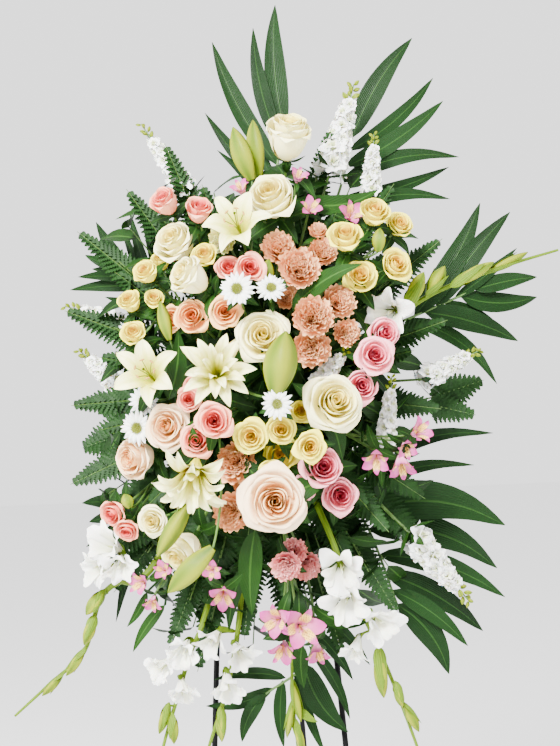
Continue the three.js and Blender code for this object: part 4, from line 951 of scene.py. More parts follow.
def petal_finish(name, rim, middle, heart, veins=0.3, roughness=0.55):
    """Soft petals: pale at the rim, warmer towards the base and the heart of the bloom, finely veined."""
    made = Finish(name, Specular_IOR_Level=0.2, Subsurface_Weight=0.18, Subsurface_Scale=0.004)
    made.shader.inputs["Subsurface Radius"].default_value = (1.0, 0.6, 0.4)
    along, across, depth = made.marks()
    warmth = made.between(depth * 0.75 + (1 - along) * 0.35 + made.speckle(60, 3) * 0.25, 0.15, 0.95)
    colour = made.ramp(warmth, (0.0, rim), (0.5, middle), (1.0, heart))
    vein = made.sine(across * 34 + made.speckle(80, 2) * 6)
    made.feed(Base_Color=made.blend(vein * 0.06 + 0.06, colour, middle))
    made.feed(Roughness=roughness + made.speckle(200, 2) * 0.2)
    made.bump(vein * veins + made.speckle(400, 2), 0.00035, 0.5)
    return made


def bud_ends(plant, spec):
    """Where a bud from the plan starts and ends."""
    forward = stands_at(plant, spec[0], spec[1]) + spec[5]
    return spot(spec[0], spec[1], forward), spot(spec[2], spec[3], forward)


def plant_piece(name, petals, grow, seed, collar_leaves=4, collar_reach=1.5, more=()):
    """One plant with its stems and leaves, drawn in place of its solid. `grow` draws each bloom."""
    plant, dice, cutting = PLAN[name], np.random.default_rng(seed), Cutting()
    heads = plant["placed"]
    sides = len(heads) - 1 + len(plant.get("buds", [])) + len(plant.get("leaves", []))
    first = heads[0]
    back = first["centre"] - first["axis"] * first["radius"] * DEPTH[first["kind"]]
    stems = Stems(cutting, plant, 1, back, sides)
    for order, head in enumerate(heads):
        foot_of_head = head["centre"] - head["axis"] * head["radius"] * DEPTH[head["kind"]]
        if order or stems.spine:
            stalk_to(cutting, stems.foot(foot_of_head), foot_of_head, head["axis"], 1)
        grow(cutting, head, dice)
        collar(cutting, head, dice, collar_leaves, collar_reach)
    for spec in plant.get("buds", []):
        base, tip = bud_ends(plant, spec)
        stalk_to(cutting, stems.foot(base), base, unit(tip - base), 1)
        bud(cutting, base, tip, spec[4] * PIXEL, dice)
    for spec in plant.get("leaves", []):
        leaf(cutting, stems.foot(spot(*spec[:3])), spec, 2, dice)
    piece = cutting.made(f"{name}_blooms", [petals, stem_green, leaf_green, bud_finish, *more])
    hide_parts(name)


def bud(cutting, base, tip, width, dice):
    """A closed bud: three folded petals twisted into a point, so that it has soft ridges."""
    length = np.linalg.norm(tip - base)
    ways = frame_round(unit(tip - base), dice.uniform(0, 6))
    t, turn = np.meshgrid(np.linspace(0, 1, 14), np.linspace(0, 2 * math.pi, 19)[:-1], indexing="ij")
    girth = width / 2 * np.maximum(0.02, np.sin(math.pi * np.minimum(1, 0.12 + 0.88 * t) ** 1.15)) ** 0.75
    girth = girth * (1 + 0.13 * np.cos(3 * turn + 1.2 * t))
    grid = np.stack([girth * np.cos(turn), girth * np.sin(turn), t * length], axis=-1)
    cutting.sheet(base + grid @ ways, 3, t, np.cos(3 * turn), 0.5, closed=True)


bud_finish = Finish("lime_bud", Specular_IOR_Level=0.12, Subsurface_Weight=0.1, Subsurface_Scale=0.003)
bud_along, bud_across, _ = bud_finish.marks()
bud_colour = bud_finish.ramp(
    bud_along, (0.0, (0.035, 0.08, 0.003)), (0.45, (0.11, 0.165, 0.003)), (1.0, (0.045, 0.095, 0.003))
)
bud_finish.feed(Base_Color=bud_finish.blend((bud_across + 1) * 0.24, bud_colour, (0.3, 0.3, 0.006)))
bud_finish.feed(Roughness=0.38 + bud_finish.speckle(140, 2) * 0.2)
bud_finish.bump(bud_across + bud_finish.speckle(350, 2), 0.0005, 0.4)

ivory = petal_finish("ivory_rose_petal", (0.93, 0.88, 0.5), (0.9, 0.81, 0.27), (0.86, 0.69, 0.07))
blush = petal_finish("blush_rose_petal", (0.92, 0.7, 0.44), (0.89, 0.56, 0.26), (0.82, 0.4, 0.11))
for seed, (name, petals, slot) in enumerate((
    ("cream_roses_top", ivory, "cream"),
    ("white_roses_left", ivory, "cream"),
    ("cream_rose_upper", ivory, "cream"),
    ("cream_rose_right", ivory, "cream"),
    ("blush_rose_low", blush, "blush"),
    ("blush_roses_left", blush, "blush"),
    ("white_roses_low_left", ivory, "cream"),
)):
    plant_piece(name, petals, rose_head, seed)

# The spray roses: smaller, rounder roses, several to a stem, in yellow, pink, coral and peach.
# They have fewer petals than the garden roses, and open as shallow cups.
SPRAY_RINGS = (
    (2, 0.13, 0.46, 0.0, 2.5),
    (3, 0.24, 0.48, 0.04, 1.5),
    (3, 0.38, 0.45, 0.07, 1.35),
    (4, 0.56, 0.36, 0.11, 1.05),
    (5, 0.74, 0.2, 0.2, 0.85),
)


def spray_rose_head(cutting, head, dice):
    rose_head(cutting, head, dice, SPRAY_RINGS, (8, 9))


spray_colours = {
    "yellow": ((0.86, 0.77, 0.07), (0.84, 0.69, 0.02), (0.78, 0.47, 0.01)),
    "pink": ((0.88, 0.36, 0.4), (0.8, 0.17, 0.23), (0.62, 0.06, 0.11)),
    "coral": ((0.88, 0.38, 0.24), (0.82, 0.18, 0.13), (0.64, 0.06, 0.06)),
    "peach": ((0.9, 0.52, 0.19), (0.86, 0.37, 0.09), (0.64, 0.18, 0.04)),
}
spray_finishes = {name: petal_finish(f"{name}_spray_rose_petal", *c) for name, c in spray_colours.items()}
for seed, (name, slot) in enumerate((
    ("yellow_roses_right", "yellow"),
    ("yellow_roses_left", "yellow"),
    ("pink_roses_upper_left", "coral"),
    ("peach_roses_left", "peach"),
    ("pink_roses_right", "pink"),
    ("pink_roses_low_right", "pink"),
    ("coral_roses_centre", "coral"),
    ("yellow_roses_centre", "yellow"),
    ("coral_roses_low_left", "coral"),
)):
    plant_piece(name, spray_finishes[slot], spray_rose_head, 20 + seed)

# The carnations: dense ruffled balls, in dusty peach and pale pink. Crinkled petals stand folded against
# each other in the middle, inside rings of broad wavy ones. Towards their base they are painted much darker:
# partly their own deeper colour, partly painted shade between the folds.
CARNATION_RINGS = ((6, 0.5, 0.5, 1.0), (8, 0.72, 0.36, 0.85), (9, 0.95, 0.1, 0.78))
CRINKLED = 26
FOLD_TURN = 2.39996


def carnation_head(cutting, head, dice):
    ways = frame_round(head["axis"], dice.uniform(0, 6))
    for order, (count, rim, height, spread) in enumerate(CARNATION_RINGS):
        for k in range(count):
            turn = 2 * math.pi * (k + dice.uniform(-0.25, 0.25)) / count
            top = height + dice.uniform(-0.08, 0.08)
            size = dice.uniform(0.9, 1.05)
            profile = ((0.06, -0.85), (0.5 * rim, -0.6), (rim * 1.02, top - 0.1), (rim * size, top + 0.02))
            grid, reach, v = cupped_petal(turn, spread, profile, 8, 19, dice, 0.14, 0.05, 0.06)
            frill = np.sin(v * dice.uniform(11, 15) + dice.uniform(0, 6)) * 0.075 * reach**4
            grid = grid * (1 + frill[..., None])
            grid[..., 2] += 0.6 * frill
            cutting.sheet(on_bloom(head, ways, grid), 0, reach, v, 0.5 - 0.2 * order)
    for k in range(CRINKLED):
        away, turn = 0.5 * math.sqrt((k + 0.5) / CRINKLED), k * FOLD_TURN
        foot = np.array([away * math.cos(turn), away * math.sin(turn), 0])
        way = turn + dice.uniform(-1.3, 1.3)
        u, v = np.meshgrid(np.linspace(0, 1, 5), np.linspace(-1, 1, 15), indexing="ij")
        fold = 0.07 * np.sin(v * dice.uniform(6, 9) + dice.uniform(0, 6)) * (0.4 + u)
        along = v * (0.1 + 0.2 * u)
        top = 0.62 - 0.55 * away**2 + dice.uniform(-0.06, 0.06)
        up = -0.2 + (top + 0.2) * u - 0.1 * np.abs(v) ** 3 * u + 0.04 * np.sin(v * 17 + k) * u
        out = foot[:2] * (0.55 + 0.5 * u[..., None])
        grid = np.stack([
            out[..., 0] - along * math.sin(way) + fold * math.cos(way),
            out[..., 1] + along * math.cos(way) + fold * math.sin(way),
            up,
        ], axis=-1)
        cutting.sheet(on_bloom(head, ways, grid), 0, 0.25 + 0.75 * u, v, 1.0)
    neck = [(0, 0, -1.35), (0, 0, -1.1), (0, 0, -0.8), (0, 0, -0.6)]
    cutting.tube(on_bloom(head, ways, neck), head["radius"] * np.array([0.1, 0.2, 0.26, 0.3]), 1, 9)


def frilled_finish(name, rim, middle, heart):
    """Frilled petals, much darker towards their base: partly their own deeper colour, partly painted shade in
    the folds.
    """
    soft = {"Subsurface_Weight": 0.15, "Subsurface_Scale": 0.003}
    made = Finish(name, Specular_IOR_Level=0.12, Roughness=0.75, **soft)
    along, across, depth = made.marks()
    # The shade ramp darkens each petal towards its base: painted shade in the folds, with some of the petals'
    # own deeper colour.
    shade = made.between((1 - along) + made.speckle(300, 3) * 0.3 + depth * 0.15, 0.2, 1.0)
    made.feed(Base_Color=made.ramp(shade, (0.0, rim), (0.4, middle), (1.0, heart)))
    made.bump(made.speckle(600, 3), 0.0004, 0.5)
    return made


# The dark heart colours are partly the carnations' own deeper colour and partly painted shade between the
# folds.
dusty_peach = frilled_finish(
    "dusty_peach_carnation", (0.9, 0.54, 0.28), (0.82, 0.38, 0.16), (0.45, 0.14, 0.05)
)
pale_pink = frilled_finish("pale_pink_carnation", (0.9, 0.45, 0.41), (0.8, 0.27, 0.28), (0.45, 0.1, 0.12))
for seed, (name, petals, slot) in enumerate((
    ("peach_carnations_upper", dusty_peach, "peach"),
    ("peach_carnations_right", dusty_peach, "peach"),
    ("peach_carnations_low", dusty_peach, "peach"),
    ("pink_carnations", pale_pink, "pink"),
)):
    plant_piece(name, petals, carnation_head, 40 + seed, 3, 1.4)

# The lilies: long waxy petals, cream with yellow-green ribs, curved back at their tips.
# Two of them are double, with a heart of smaller petals; plump green buds grow on the same stalks.
lily_petal = Finish("waxy_lily_petal", Specular_IOR_Level=0.4, Subsurface_Weight=0.15, Subsurface_Scale=0.004)
lily_along, lily_across, lily_depth = lily_petal.marks()
lily_rib = lily_petal.middle_line(lily_across, 0.03, 0.42)
lily_throat = 1 - lily_petal.between(lily_along + lily_petal.speckle(60, 2) * 0.2, 0.3, 0.95)
lily_colour = lily_petal.blend(lily_throat, (0.93, 0.9, 0.46), (0.66, 0.62, 0.02))
lily_green = (1 - lily_along * 0.75) * lily_rib * 0.8
lily_petal.feed(Base_Color=lily_petal.blend(lily_green, lily_colour, (0.5, 0.56, 0.03)))
lily_petal.feed(Roughness=0.42 + lily_petal.speckle(180, 2) * 0.2)
lily_lines = lily_petal.sine(lily_across * 24)
lily_petal.bump(lily_rib + lily_lines * 0.3, 0.0008, 0.5)
DOUBLE_LILIES = ("lily_centre", "lily_low")
DOUBLE_LAYERS = (
    # petals, where the first stands in radians, reach, width, rise
    (4, 0.0, 1.04, 0.4, 0.1),
    (5, 0.6, 0.98, 0.4, 0.26),
    (5, 0.2, 0.82, 0.34, 0.44),
    (4, 0.9, 0.6, 0.28, 0.6),
    (4, 0.1, 0.36, 0.22, 0.74),
)


def long_petal(turn, profile, width, dice, rows=14, columns=9, ruffle=0.05, keel=0.1):
    """A long petal with a pointed tip, its middle sunk along the rib."""
    u, v = np.meshgrid(np.linspace(0, 1, rows), np.linspace(-1, 1, columns), indexing="ij")
    out, up = swept(profile, u)
    half = width / 2 * np.maximum(0.03, np.sin(math.pi * (0.06 + 0.94 * u) ** 1.05) ** 0.7)
    aside = half * v
    waves = ruffle * np.abs(v) ** 2 * np.sin(u * dice.uniform(9, 13) + v * 2 + dice.uniform(0, 6))
    up = up + keel * v**2 * half / width * 2 + waves
    x = out * math.cos(turn) - aside * math.sin(turn)
    y = out * math.sin(turn) + aside * math.cos(turn)
    return np.stack([x, y, up], axis=-1), u, v


def lily_head(cutting, head, dice):
    """Six petals in two threes, and six stamens or a heart of smaller petals."""
    ways = frame_round(head["axis"], dice.uniform(0, 6))
    layers = [(3, 0.0, 1.0, 0.5, 0.12), (3, 1.05, 0.96, 0.62, 0.24)]
    double = head["plant"] in DOUBLE_LILIES
    if double:
        layers = DOUBLE_LAYERS
    for count, start, reach, width, rise in layers:
        for k in range(count):
            turn = start + 2 * math.pi * (k + dice.uniform(-0.08, 0.08)) / count
            size = reach * dice.uniform(0.94, 1.06)
            profile = ((0.04, -0.95), (0.16, -0.3), (0.62 * size, rise + 0.12), (1.1 * size, rise - 0.14))
            grid, u, v = long_petal(turn, profile, width, dice)
            cutting.sheet(on_bloom(head, ways, grid), 0, u, v, 0.5)
    if double:
        return
    for k in range(6):
        turn = 2 * math.pi * k / 6 + 0.3
        out = outward(turn)
        thread = np.array([(0, 0, -0.8), out * 0.08 + (0, 0, -0.2), out * 0.3 + (0, 0, 0.28)])
        cutting.tube(on_bloom(head, ways, curve(thread)), head["radius"] * 0.014, 3, 5)
        side = np.array([-out[1], out[0], 0])
        anther = np.array([thread[2] + side * s for s in (-0.09, -0.05, 0, 0.05, 0.09)])
        radii = head["radius"] * np.array([0.0, 0.028, 0.034, 0.028, 0.0])
        cutting.tube(on_bloom(head, ways, anther), radii, 4, 6)
    pistil = np.array([(0, 0, -0.8), (0, 0, -0.1), (0.05, 0.02, 0.4), (0.06, 0.02, 0.46)])
    cutting.tube(on_bloom(head, ways, pistil), head["radius"] * np.array([0.03, 0.02, 0.02, 0.045]), 3, 7)


pollen = Finish("rust_pollen", Roughness=0.9)
pollen.feed(Base_Color=pollen.blend(pollen.speckle(900, 2), (0.32, 0.16, 0.03), (0.5, 0.3, 0.06)))
pollen.bump(pollen.speckle(2000, 2), 0.0004)


def bloom(kind_drawn):
    """Draws lilies and, on the same stalk, carnations, each as its own kind."""
    def grow(cutting, head, dice):
        (carnation_head if head["kind"] == "carnation" else kind_drawn)(cutting, head, dice)
    return grow


for seed, name in enumerate(("lily_left", "lily_centre", "lily_low", "lily_top")):
    plant_piece(name, lily_petal, bloom(lily_head), 50 + seed, 2, 1.0, [pollen])

# The daisies: white chrysanthemums with two rows of blunt rays round a domed green eye.
# The eye is a spiral of small closed florets.
ray_white = petal_finish("white_daisy_ray", (0.94, 0.94, 0.92), (0.92, 0.92, 0.84), (0.74, 0.78, 0.4), 0.5)
eye_green = Finish("green_daisy_eye", Roughness=0.65)
eye_green.feed(Base_Color=eye_green.blend(eye_green.speckle(900, 2), (0.05, 0.1, 0.008), (0.4, 0.4, 0.02)))
eye_green.bump(eye_green.speckle(1500, 2), 0.0004)
GOLDEN_ANGLE = math.pi * (3 - math.sqrt(5))


def daisy_head(cutting, head, dice):
    ways = frame_round(head["axis"], dice.uniform(0, 6))
    for order, (count, reach, lift) in enumerate(((17, 1.0, 0.02), (15, 0.86, 0.1))):
        for k in range(count):
            turn = 2 * math.pi * (k + dice.uniform(-0.15, 0.15) + 0.5 * order) / count
            size = reach * dice.uniform(0.9, 1.04)
            droop = dice.uniform(-0.1, 0.1)
            profile = ((0.1, -0.12), (0.35, lift), (0.7 * size, lift + 0.12), (size, lift + droop))
            grid, u, v = long_petal(turn, profile, 0.27, dice, 8, 5, 0.01, -0.12)
            cutting.sheet(on_bloom(head, ways, grid), 0, u, v, 0.1 + 0.2 * order)
    for k in range(70):
        away = 0.29 * math.sqrt((k + 0.5) / 70)
        turn = k * GOLDEN_ANGLE
        foot = np.array([away * math.cos(turn), away * math.sin(turn), 0.08 + 0.14 * (1 - (away / 0.3) ** 2)])
        tip = foot + (foot * (1, 1, 0) * 0.25 + (0, 0, 0.07))
        floret = on_bloom(head, ways, np.array([foot - (0, 0, 0.08), foot, tip]))
        cutting.tube(floret, head["radius"] * np.array([0.03, 0.034, 0.008]), 4, 5)


for seed, name in enumerate(("daisies_centre", "daisies_left")):
    plant_piece(name, ray_white, daisy_head, 60 + seed, 3, 1.1, [eye_green])

# The stock: spikes of ruffled white double florets crowded round the stalk. Their hearts are green, and are
# darkened further as painted shade deep in each floret.
# Towards the tip the florets are still closed, and end in small green buds.
stock_white = petal_finish(
    "white_stock_petal", (0.88, 0.88, 0.86), (0.86, 0.87, 0.74), (0.45, 0.54, 0.08), 0.5, 0.6
)
FLORETS = 32


def stock_floret(cutting, centre, axis, radius, dice):
    ways = frame_round(axis, dice.uniform(0, 6))
    for order, (count, rim, height) in enumerate(((4, 0.45, 0.42), (6, 1.0, 0.2))):
        for k in range(count):
            turn = 2 * math.pi * (k + dice.uniform(-0.2, 0.2)) / count
            top = height + dice.uniform(-0.1, 0.1)
            profile = ((0.03, -0.5), (0.2, -0.1), (0.75 * rim, top + 0.1), (rim, top - 0.15))
            spread = 0.9 if order == 0 else 0.62
            grid, reach, v = cupped_petal(turn, spread, profile, 5, 7, dice, 0.15, 0.14)
            cutting.sheet(centre + radius * grid @ ways, 0, reach, v, 0.5 * (1 - order))


for seed, name in enumerate((
    "stock_top_right", "stock_top_left", "stock_left", "stock_centre_right", "stock_right", "stock_low_right",
)):
    plant, dice, cutting = PLAN[name], np.random.default_rng(70 + seed), Cutting()
    spikes = [(spot(*s[:3]), spot(*s[3:6]), s[6] * PIXEL) for s in plant["spikes"]]
    first_foot = spikes[0][0] - unit(spikes[0][1] - spikes[0][0]) * spikes[0][2] * 0.2
    stems = Stems(cutting, plant, 1, first_foot, len(spikes) - 1)
    for order, (foot, tip, radius) in enumerate(spikes):
        axis = unit(tip - foot)
        if order:
            stalk_to(cutting, stems.foot(foot), foot, axis, 1)
        cutting.tube(np.linspace(foot, tip, 6), np.linspace(0.0018, 0.0009, 6), 1, 7)
        ways = frame_round(axis)
        length = np.linalg.norm(tip - foot)
        for k in range(FLORETS):
            share = ((k + 0.5) / FLORETS) ** 0.92
            turn = k * GOLDEN_ANGLE
            out = ways[0] * math.cos(turn) + ways[1] * math.sin(turn)
            size = 1 - 0.62 * share
            place = foot + axis * length * share + out * radius * 0.5 * size
            if share < 0.78:
                across = radius * 0.72 * size * dice.uniform(0.9, 1.15)
                stock_floret(cutting, place, unit(out + axis * 0.35), across, dice)
            else:
                end = place + (out * 0.45 + axis * 0.6) * radius * size
                bud(cutting, place - out * radius * 0.3 * size, end, radius * 0.5 * size, dice)
        for k in range(5):
            turn = k * 1.3 + dice.uniform(0, 1)
            out = ways[0] * math.cos(turn) + ways[1] * math.sin(turn)
            base = foot - axis * radius * dice.uniform(0, 0.8)
            steps = ((0.9, 0.2), (1.7, 0.5))
            path = [base, *(base + out * radius * away + axis * radius * up for away, up in steps)]
            blade(cutting, path, radius * 0.5, axis, 2, dice.uniform(0.4, 0.9), 0.2, 8, 5, 0.1)
    spike = cutting.made(f"{name}_spikes", [stock_white, stem_green, leaf_green, bud_finish])
    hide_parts(name)

# The gladioli: tall stalks with ruffled white trumpets low down and closed green buds towards the tip.
# The green spears at the bottom are stalks whose buds haven't opened.
# The dark green heart colour is partly the trumpets' own green throat and partly painted shade deep in the
# funnel.
gladiolus_white = petal_finish(
    "white_gladiolus_petal", (0.86, 0.86, 0.82), (0.84, 0.85, 0.66), (0.45, 0.54, 0.06), 0.5, 0.5
)
spear_green = Finish("lime_spear", Specular_IOR_Level=0.1, Subsurface_Weight=0.08, Subsurface_Scale=0.003)
spear_along, spear_across, _ = spear_green.marks()
spear_lines = spear_green.sine(spear_across * 18)
spear_colour = spear_green.blend(spear_green.speckle(50, 3), (0.03, 0.075, 0.003), (0.1, 0.18, 0.005))
spear_green.feed(Base_Color=spear_green.blend(spear_lines * 0.12 + 0.12, spear_colour, (0.26, 0.32, 0.01)))
spear_green.feed(Roughness=0.4 + spear_green.speckle(150, 2) * 0.2)
spear_green.bump(spear_lines, 0.0004, 0.4)


TRUMPET_GROWN = 1.16


def trumpet_head(cutting, head, dice):
    """Six wide ruffled petals that open from a funnel, with a green throat darkened further as painted shade.
    """
    ways = TRUMPET_GROWN * frame_round(head["axis"], dice.uniform(0, 6))
    for k in range(6):
        turn = 2 * math.pi * k / 6 + dice.uniform(-0.1, 0.1)
        rim = (1.02, 0.86)[k % 2] * dice.uniform(0.9, 1.06)
        top = (0.42, 0.56)[k % 2] + dice.uniform(-0.1, 0.1)
        profile = ((0.05, -1.25), (0.3, -0.7), (0.5 * rim, top + 0.05), (rim, top - 0.1 * (k % 3)))
        grid, reach, v = cupped_petal(turn, 0.66, profile, 11, 15, dice, 0.2, 0.15, 0.06, 0.06)
        frill = np.sin(v * 15 + dice.uniform(0, 6)) * 0.035 * reach**6
        grid[..., 2] += frill
        cutting.sheet(on_bloom(head, ways, grid), 0, reach, v, 0.25 * (k % 2))
    for k in range(3):
        thread = [(0, 0, -0.9), (0.02, 0.04 * k, -0.2), (0.05 * k, 0.06, 0.18), (0.06 * k, 0.08, 0.28)]
        cutting.tube(on_bloom(head, ways, thread), head["radius"] * np.array([0.02, 0.02, 0.03, 0.02]), 0, 5)


def sheathed_bud(cutting, base, tip, width, dice):
    """A gladiolus bud with two pointed green bracts round its foot."""
    bud(cutting, base, tip, width, dice)
    way = unit(tip - base)
    ways = frame_round(way, dice.uniform(0, 6))
    length = np.linalg.norm(tip - base)
    for side in (-1, 1):
        out = ways[0] * side
        path = [
            base - way * length * 0.15,
            base + out * width * 0.5 + way * length * 0.25,
            base + out * width * 0.62 + way * length * 0.8,
        ]
        blade(cutting, path, width * 1.1, out, 4, 0.6, -0.55, 10, 7)


for seed, (name, slot) in enumerate((
    ("gladiolus_right", "spear"),
    ("gladiolus_left", "spear"),
    ("gladioli_bottom_left", "white"),
    ("gladioli_bottom", "white"),
    ("gladioli_low_right", "white"),
    ("green_spears_bottom", "spear"),
)):
    plant, dice, cutting = PLAN[name], np.random.default_rng(80 + seed), Cutting()
    stems = Stems(cutting, plant, 4, None, 0)
    for head in plant.get("placed", []):
        back = head["centre"] - head["axis"] * head["radius"] * DEPTH["trumpet"]
        stalk_to(cutting, stems.foot(back), back, head["axis"], 4)
        trumpet_head(cutting, head, dice)
        foot = stems.foot(back)
        ways = frame_round(head["axis"], dice.uniform(0, 6))
        for side in (-1, 1):
            out, radius = ways[0] * side, head["radius"]
            path = [foot, back + out * radius * 0.25, back + (head["axis"] + out * 0.3) * radius * 0.8]
            blade(cutting, path, radius * 0.55, out, 4, 0.6, -0.5, 10, 7)
    for spec in plant["buds"]:
        base, tip = bud_ends(plant, spec)
        stalk_to(cutting, stems.foot(base), base, unit(tip - base), 4)
        sheathed_bud(cutting, base, tip, spec[4] * PIXEL, dice)
    for spec in plant.get("leaves", []):
        leaf(cutting, stems.foot(spot(*spec[:3])), spec, 4, dice)
    stalk = cutting.made(f"{name}_stalk", [gladiolus_white, stem_green, leaf_green, bud_finish, spear_green])
    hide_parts(name)

# The alstroemeria: small pink lilies with three broad petals and three narrow ones.
# The narrow ones have a yellow flash with dark streaks.
streaked = Finish(
    "streaked_pink_petal", Specular_IOR_Level=0.35, Subsurface_Weight=0.15, Subsurface_Scale=0.003
)
inca_along, inca_across, inca_inner = streaked.marks()
inca_base = streaked.blend(streaked.between(inca_along, 0.1, 0.9), (0.76, 0.26, 0.44), (0.42, 0.03, 0.22))
flash = streaked.between(inca_along, 0.25, 0.4) * (1 - streaked.between(inca_along, 0.62, 0.78)) * inca_inner
inca_flash = streaked.blend(flash * 0.85, inca_base, (0.88, 0.64, 0.08))
dash_lines = streaked.sine(inca_across * 16)
dash_gaps = streaked.sine(inca_along * 30 + inca_across * 4)
dashes = streaked.between(dash_lines * dash_gaps, 0.35, 0.6) * inca_inner
dashes = dashes * streaked.between(inca_along, 0.3, 0.4)
streaked.feed(Base_Color=streaked.blend(dashes * 0.85, inca_flash, (0.22, 0.03, 0.08)))
streaked.feed(Roughness=0.5 + streaked.speckle(200, 2) * 0.2)
streaked.bump(dash_lines * 0.3 + streaked.speckle(300, 2), 0.0003, 0.5)


def inca_head(cutting, head, dice):
    ways = frame_round(head["axis"], dice.uniform(0, 6))
    for k in range(6):
        inner = k % 2
        turn = 2 * math.pi * k / 6 + dice.uniform(-0.08, 0.08)
        reach = (1.12, 1.04)[inner] * dice.uniform(0.94, 1.06)
        profile = ((0.04, -1.1), (0.2, -0.5), (0.6 * reach, 0.2 + 0.12 * inner), (reach, 0.24 + 0.1 * inner))
        grid, u, v = long_petal(turn, profile, (0.86, 0.5)[inner], dice, 11, 9, 0.03, 0.14)
        cutting.sheet(on_bloom(head, ways, grid), 0, u, v, inner)
    for k in range(4):
        turn = k * 1.6
        out = outward(turn)
        thread = np.array([(0, 0, -0.9), out * 0.1 + (0, 0, -0.1), out * 0.26 + (0, 0, 0.32)])
        cutting.tube(on_bloom(head, ways, curve(thread)), head["radius"] * np.linspace(0.02, 0.032, 13), 4, 5)


for seed, place in enumerate(("bottom", "low_left", "right", "top")):
    plant_piece(f"alstroemeria_{place}", streaked, inca_head, 90 + seed, 3, 1.6, [pollen])

# The palm fronds: stiff dark leaflets in a fan from each rib, with close parallel veins.
# They stand behind the flowers and give the spray its outline.
palm_green = Finish("palm_leaflet", Specular_IOR_Level=0.08, Subsurface_Weight=0.05, Subsurface_Scale=0.002)
palm_along, palm_across, palm_tint = palm_green.marks()
palm_rib = palm_green.middle_line(palm_across, 0.01, 0.09)
palm_veins = palm_green.sine(palm_across * 42)
palm_shade = palm_green.speckle(22, 3) * 0.5 + palm_tint * 0.55 + palm_veins * 0.06
palm_colour = palm_green.blend(palm_shade, (0.002, 0.007, 0.002), (0.009, 0.034, 0.006))
palm_green.feed(Base_Color=palm_green.blend(palm_rib * 0.4, palm_colour, (0.04, 0.11, 0.02)))
palm_green.feed(Roughness=0.3 + palm_green.speckle(120, 2) * 0.25)
palm_green.bump(palm_veins + palm_rib * 1.5, 0.0004, 0.5)
for seed, name in enumerate((
    "palm_top", "palm_top_right", "palm_right", "palm_low_right", "palm_bottom", "palm_left", "palm_low_left",
)):
    plant, dice, cutting = PLAN[name], np.random.default_rng(100 + seed), Cutting()
    stems = Stems(cutting, plant, 0, None, 0)
    for spec in plant["leaves"]:
        leaf(cutting, stems.foot(spot(*spec[:3])), spec, 1, dice)
    frond = cutting.made(f"{name}_frond", [stem_green, palm_green])
    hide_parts(name)

# The leather ferns: flat triangular fronds whose side leaflets are cut into small rounded lobes.
# They fill the edges of the spray behind the flowers.
LOBES = 6
fern_green = Finish("fern_frond", Specular_IOR_Level=0.1)
fern_along, fern_across, fern_tint = fern_green.marks()
fern_shade = fern_green.speckle(60, 3) * 0.7 + fern_tint * 0.4
fern_green.feed(Base_Color=fern_green.blend(fern_shade, (0.002, 0.01, 0.002), (0.014, 0.05, 0.008)))
fern_green.feed(Roughness=0.42 + fern_green.speckle(200, 2) * 0.2)
fern_green.bump(fern_green.speckle(500, 2), 0.0004, 0.6)


def lobed_leaflet(cutting, base, tip, width, face, dice):
    """A leaflet whose two edges swell into rounded lobes."""
    t = np.linspace(0, 1, LOBES * 3 + 1)
    outline = (1 - t) ** 0.6 * (0.62 + 0.38 * np.abs(np.sin(math.pi * LOBES * t))) + 0.02
    along = tip - base
    side = unit(np.cross(along, face))
    v = np.linspace(-1, 1, 3)[None, :, None]
    grid = (base + along * t[:, None])[:, None] + side * (width / 2 * outline)[:, None, None] * v
    grid = grid + face * width * 0.1 * (np.abs(v) - (t**2)[:, None, None])
    cutting.sheet(grid, 1, depth=dice.uniform(0.1, 0.9))


def fern_frond(cutting, base, tip, width, face, dice):
    """A triangular frond: a rib with pairs of lobed leaflets that shorten towards its tip."""
    along = tip - base
    length = np.linalg.norm(along)
    side = unit(np.cross(along, face))
    cutting.tube(np.linspace(base, tip, 8), np.linspace(0.0012, 0.0004, 8), 0, 6)
    pairs = max(7, int(length / 0.0075))
    for k in range(pairs):
        share = 0.06 + 0.92 * k / pairs
        reach = width / 2 * (1 - share) ** 0.8 * dice.uniform(0.92, 1.08) + 0.003
        for hand in (-1, 1):
            foot = base + along * share
            way = unit(side * hand + unit(along) * 0.55)
            end = foot + way * reach + face * reach * dice.uniform(-0.12, 0.08)
            lobed_leaflet(cutting, foot, end, length / pairs * 1.75, face, dice)


for seed, name in enumerate(("fern_left", "fern_right")):
    plant, dice, cutting = PLAN[name], np.random.default_rng(120 + seed), Cutting()
    stems = Stems(cutting, plant, 0, None, 0)
    for x1, y1, f1, x2, y2, f2, width, _ in plant["ferns"]:
        base, tip = spot(x1, y1, f1), spot(x2, y2, f2)
        foot = stems.foot(base)
        cutting.tube(np.linspace(foot, base, 4), 0.0013, 0, 6)
        fern_frond(cutting, base, tip, width * PIXEL, unit(NEAR + UP * 0.2), dice)
    frond = cutting.made(f"{name}_frond", [stem_green, fern_green])
    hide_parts(name)

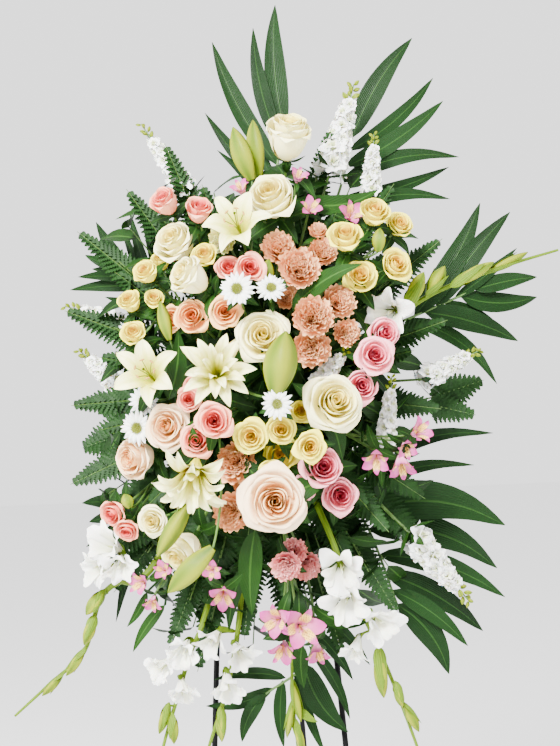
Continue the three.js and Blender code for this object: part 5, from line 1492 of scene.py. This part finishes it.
# The filler: short sprigs of broad leaves and fern set all over the foam before the flowers go in.
# They close the gaps between the blooms with dark green, and hide the foam from every side.
FILLER_STEP = 34
filler_dice = np.random.default_rng(7)
for name, with_fern in (("filler_leaves", False), ("filler_fern", True)):
    cutting = Cutting()
    for row, down in enumerate(range(190, 640, FILLER_STEP)):
        for column, across in enumerate(range(120, 420, FILLER_STEP)):
            if (row + column) % 2 == int(with_fern):
                continue
            x = across + filler_dice.uniform(-12, 12)
            y = down + filler_dice.uniform(-12, 12)
            u = (x - DOME["across"]) / (DOME["half_width"] * 0.92)
            v = (y - DOME["down"]) / (DOME["half_height"] * 0.92)
            if u * u + v * v > 1:
                continue
            end = spot(x, y, dome_at(x, y) * filler_dice.uniform(0.45, 0.62))
            root = foam_exit(end) - unit(end - focus) * 0.012
            way = unit(end - root)
            cutting.tube(np.linspace(root, end, 5), np.linspace(0.0016, 0.0009, 5), 0, 6)
            if with_fern:
                tip = end + unit(way + RIGHT * u * 0.8 - UP * v * 0.8) * 0.07
                face = unit(NEAR * 0.8 + UP * 0.3)
                fern_frond(cutting, root + (end - root) * 0.45, tip, 0.075, face, filler_dice)
                continue
            for k in range(6):
                share = 0.5 + 0.5 * k / 5
                turn = k * 2.4 + filler_dice.uniform(0, 1)
                ways = frame_round(way, turn)
                start = root + (end - root) * share
                length = filler_dice.uniform(0.045, 0.065)
                bend, tip = (ways[0] * 0.5 + way * 0.25) * length, (ways[0] + way * 0.35) * length
                path = [start, start + bend, start + tip]
                blade(cutting, path, length * 0.5, way, 1, filler_dice.uniform(0, 0.55), 0.2, 8, 5, 0.08)
    filler = cutting.made(name, [stem_green, fern_green if with_fern else leaf_green])

# The studio: a plain pale floor and soft light from a large lamp above the camera and one at each side.
# The white surroundings light the shadows.
floor_mesh = bpy.data.meshes.new("floor")
FLOOR_HALF = 12
floor_mesh.from_pydata(
    [(x * FLOOR_HALF, y * FLOOR_HALF, 0) for x, y in ((-1, -1), (1, -1), (1, 1), (-1, 1))], [], [(0, 1, 2, 3)]
)
floor = bpy.data.objects.new("floor", floor_mesh)
bpy.context.scene.collection.objects.link(floor)
paper = Finish("pale_floor", Base_Color=(0.9, 0.9, 0.9, 1), Roughness=0.9)
floor_mesh.materials.append(paper.material)

surroundings = bpy.data.worlds.new("surroundings")
surroundings.use_nodes = True
surroundings.node_tree.nodes["Background"].inputs["Color"].default_value = (1, 1, 1, 1)
surroundings.node_tree.nodes["Background"].inputs["Strength"].default_value = 2.0
bpy.context.scene.world = surroundings


def lamp(name, place, size, watts):
    """A square soft lamp that shines at the middle of the spray."""
    data = bpy.data.lights.new(name, "AREA")
    data.size = size
    data.energy = watts
    made = bpy.data.objects.new(name, data)
    ways = frame_round(unit(np.array(place) - foam_middle))
    made.matrix_world = Matrix([[*row, at] for row, at in zip(ways.T, place)] + [[0, 0, 0, 1]])
    bpy.context.scene.collection.objects.link(made)


lamp("lamp_above", (-0.9, -2.6, 2.6), 1.0, 500)
lamp("lamp_left", (-2.4, -1.0, 1.4), 1.2, 80)
lamp("lamp_right", (2.4, -0.8, 1.6), 1.2, 50)
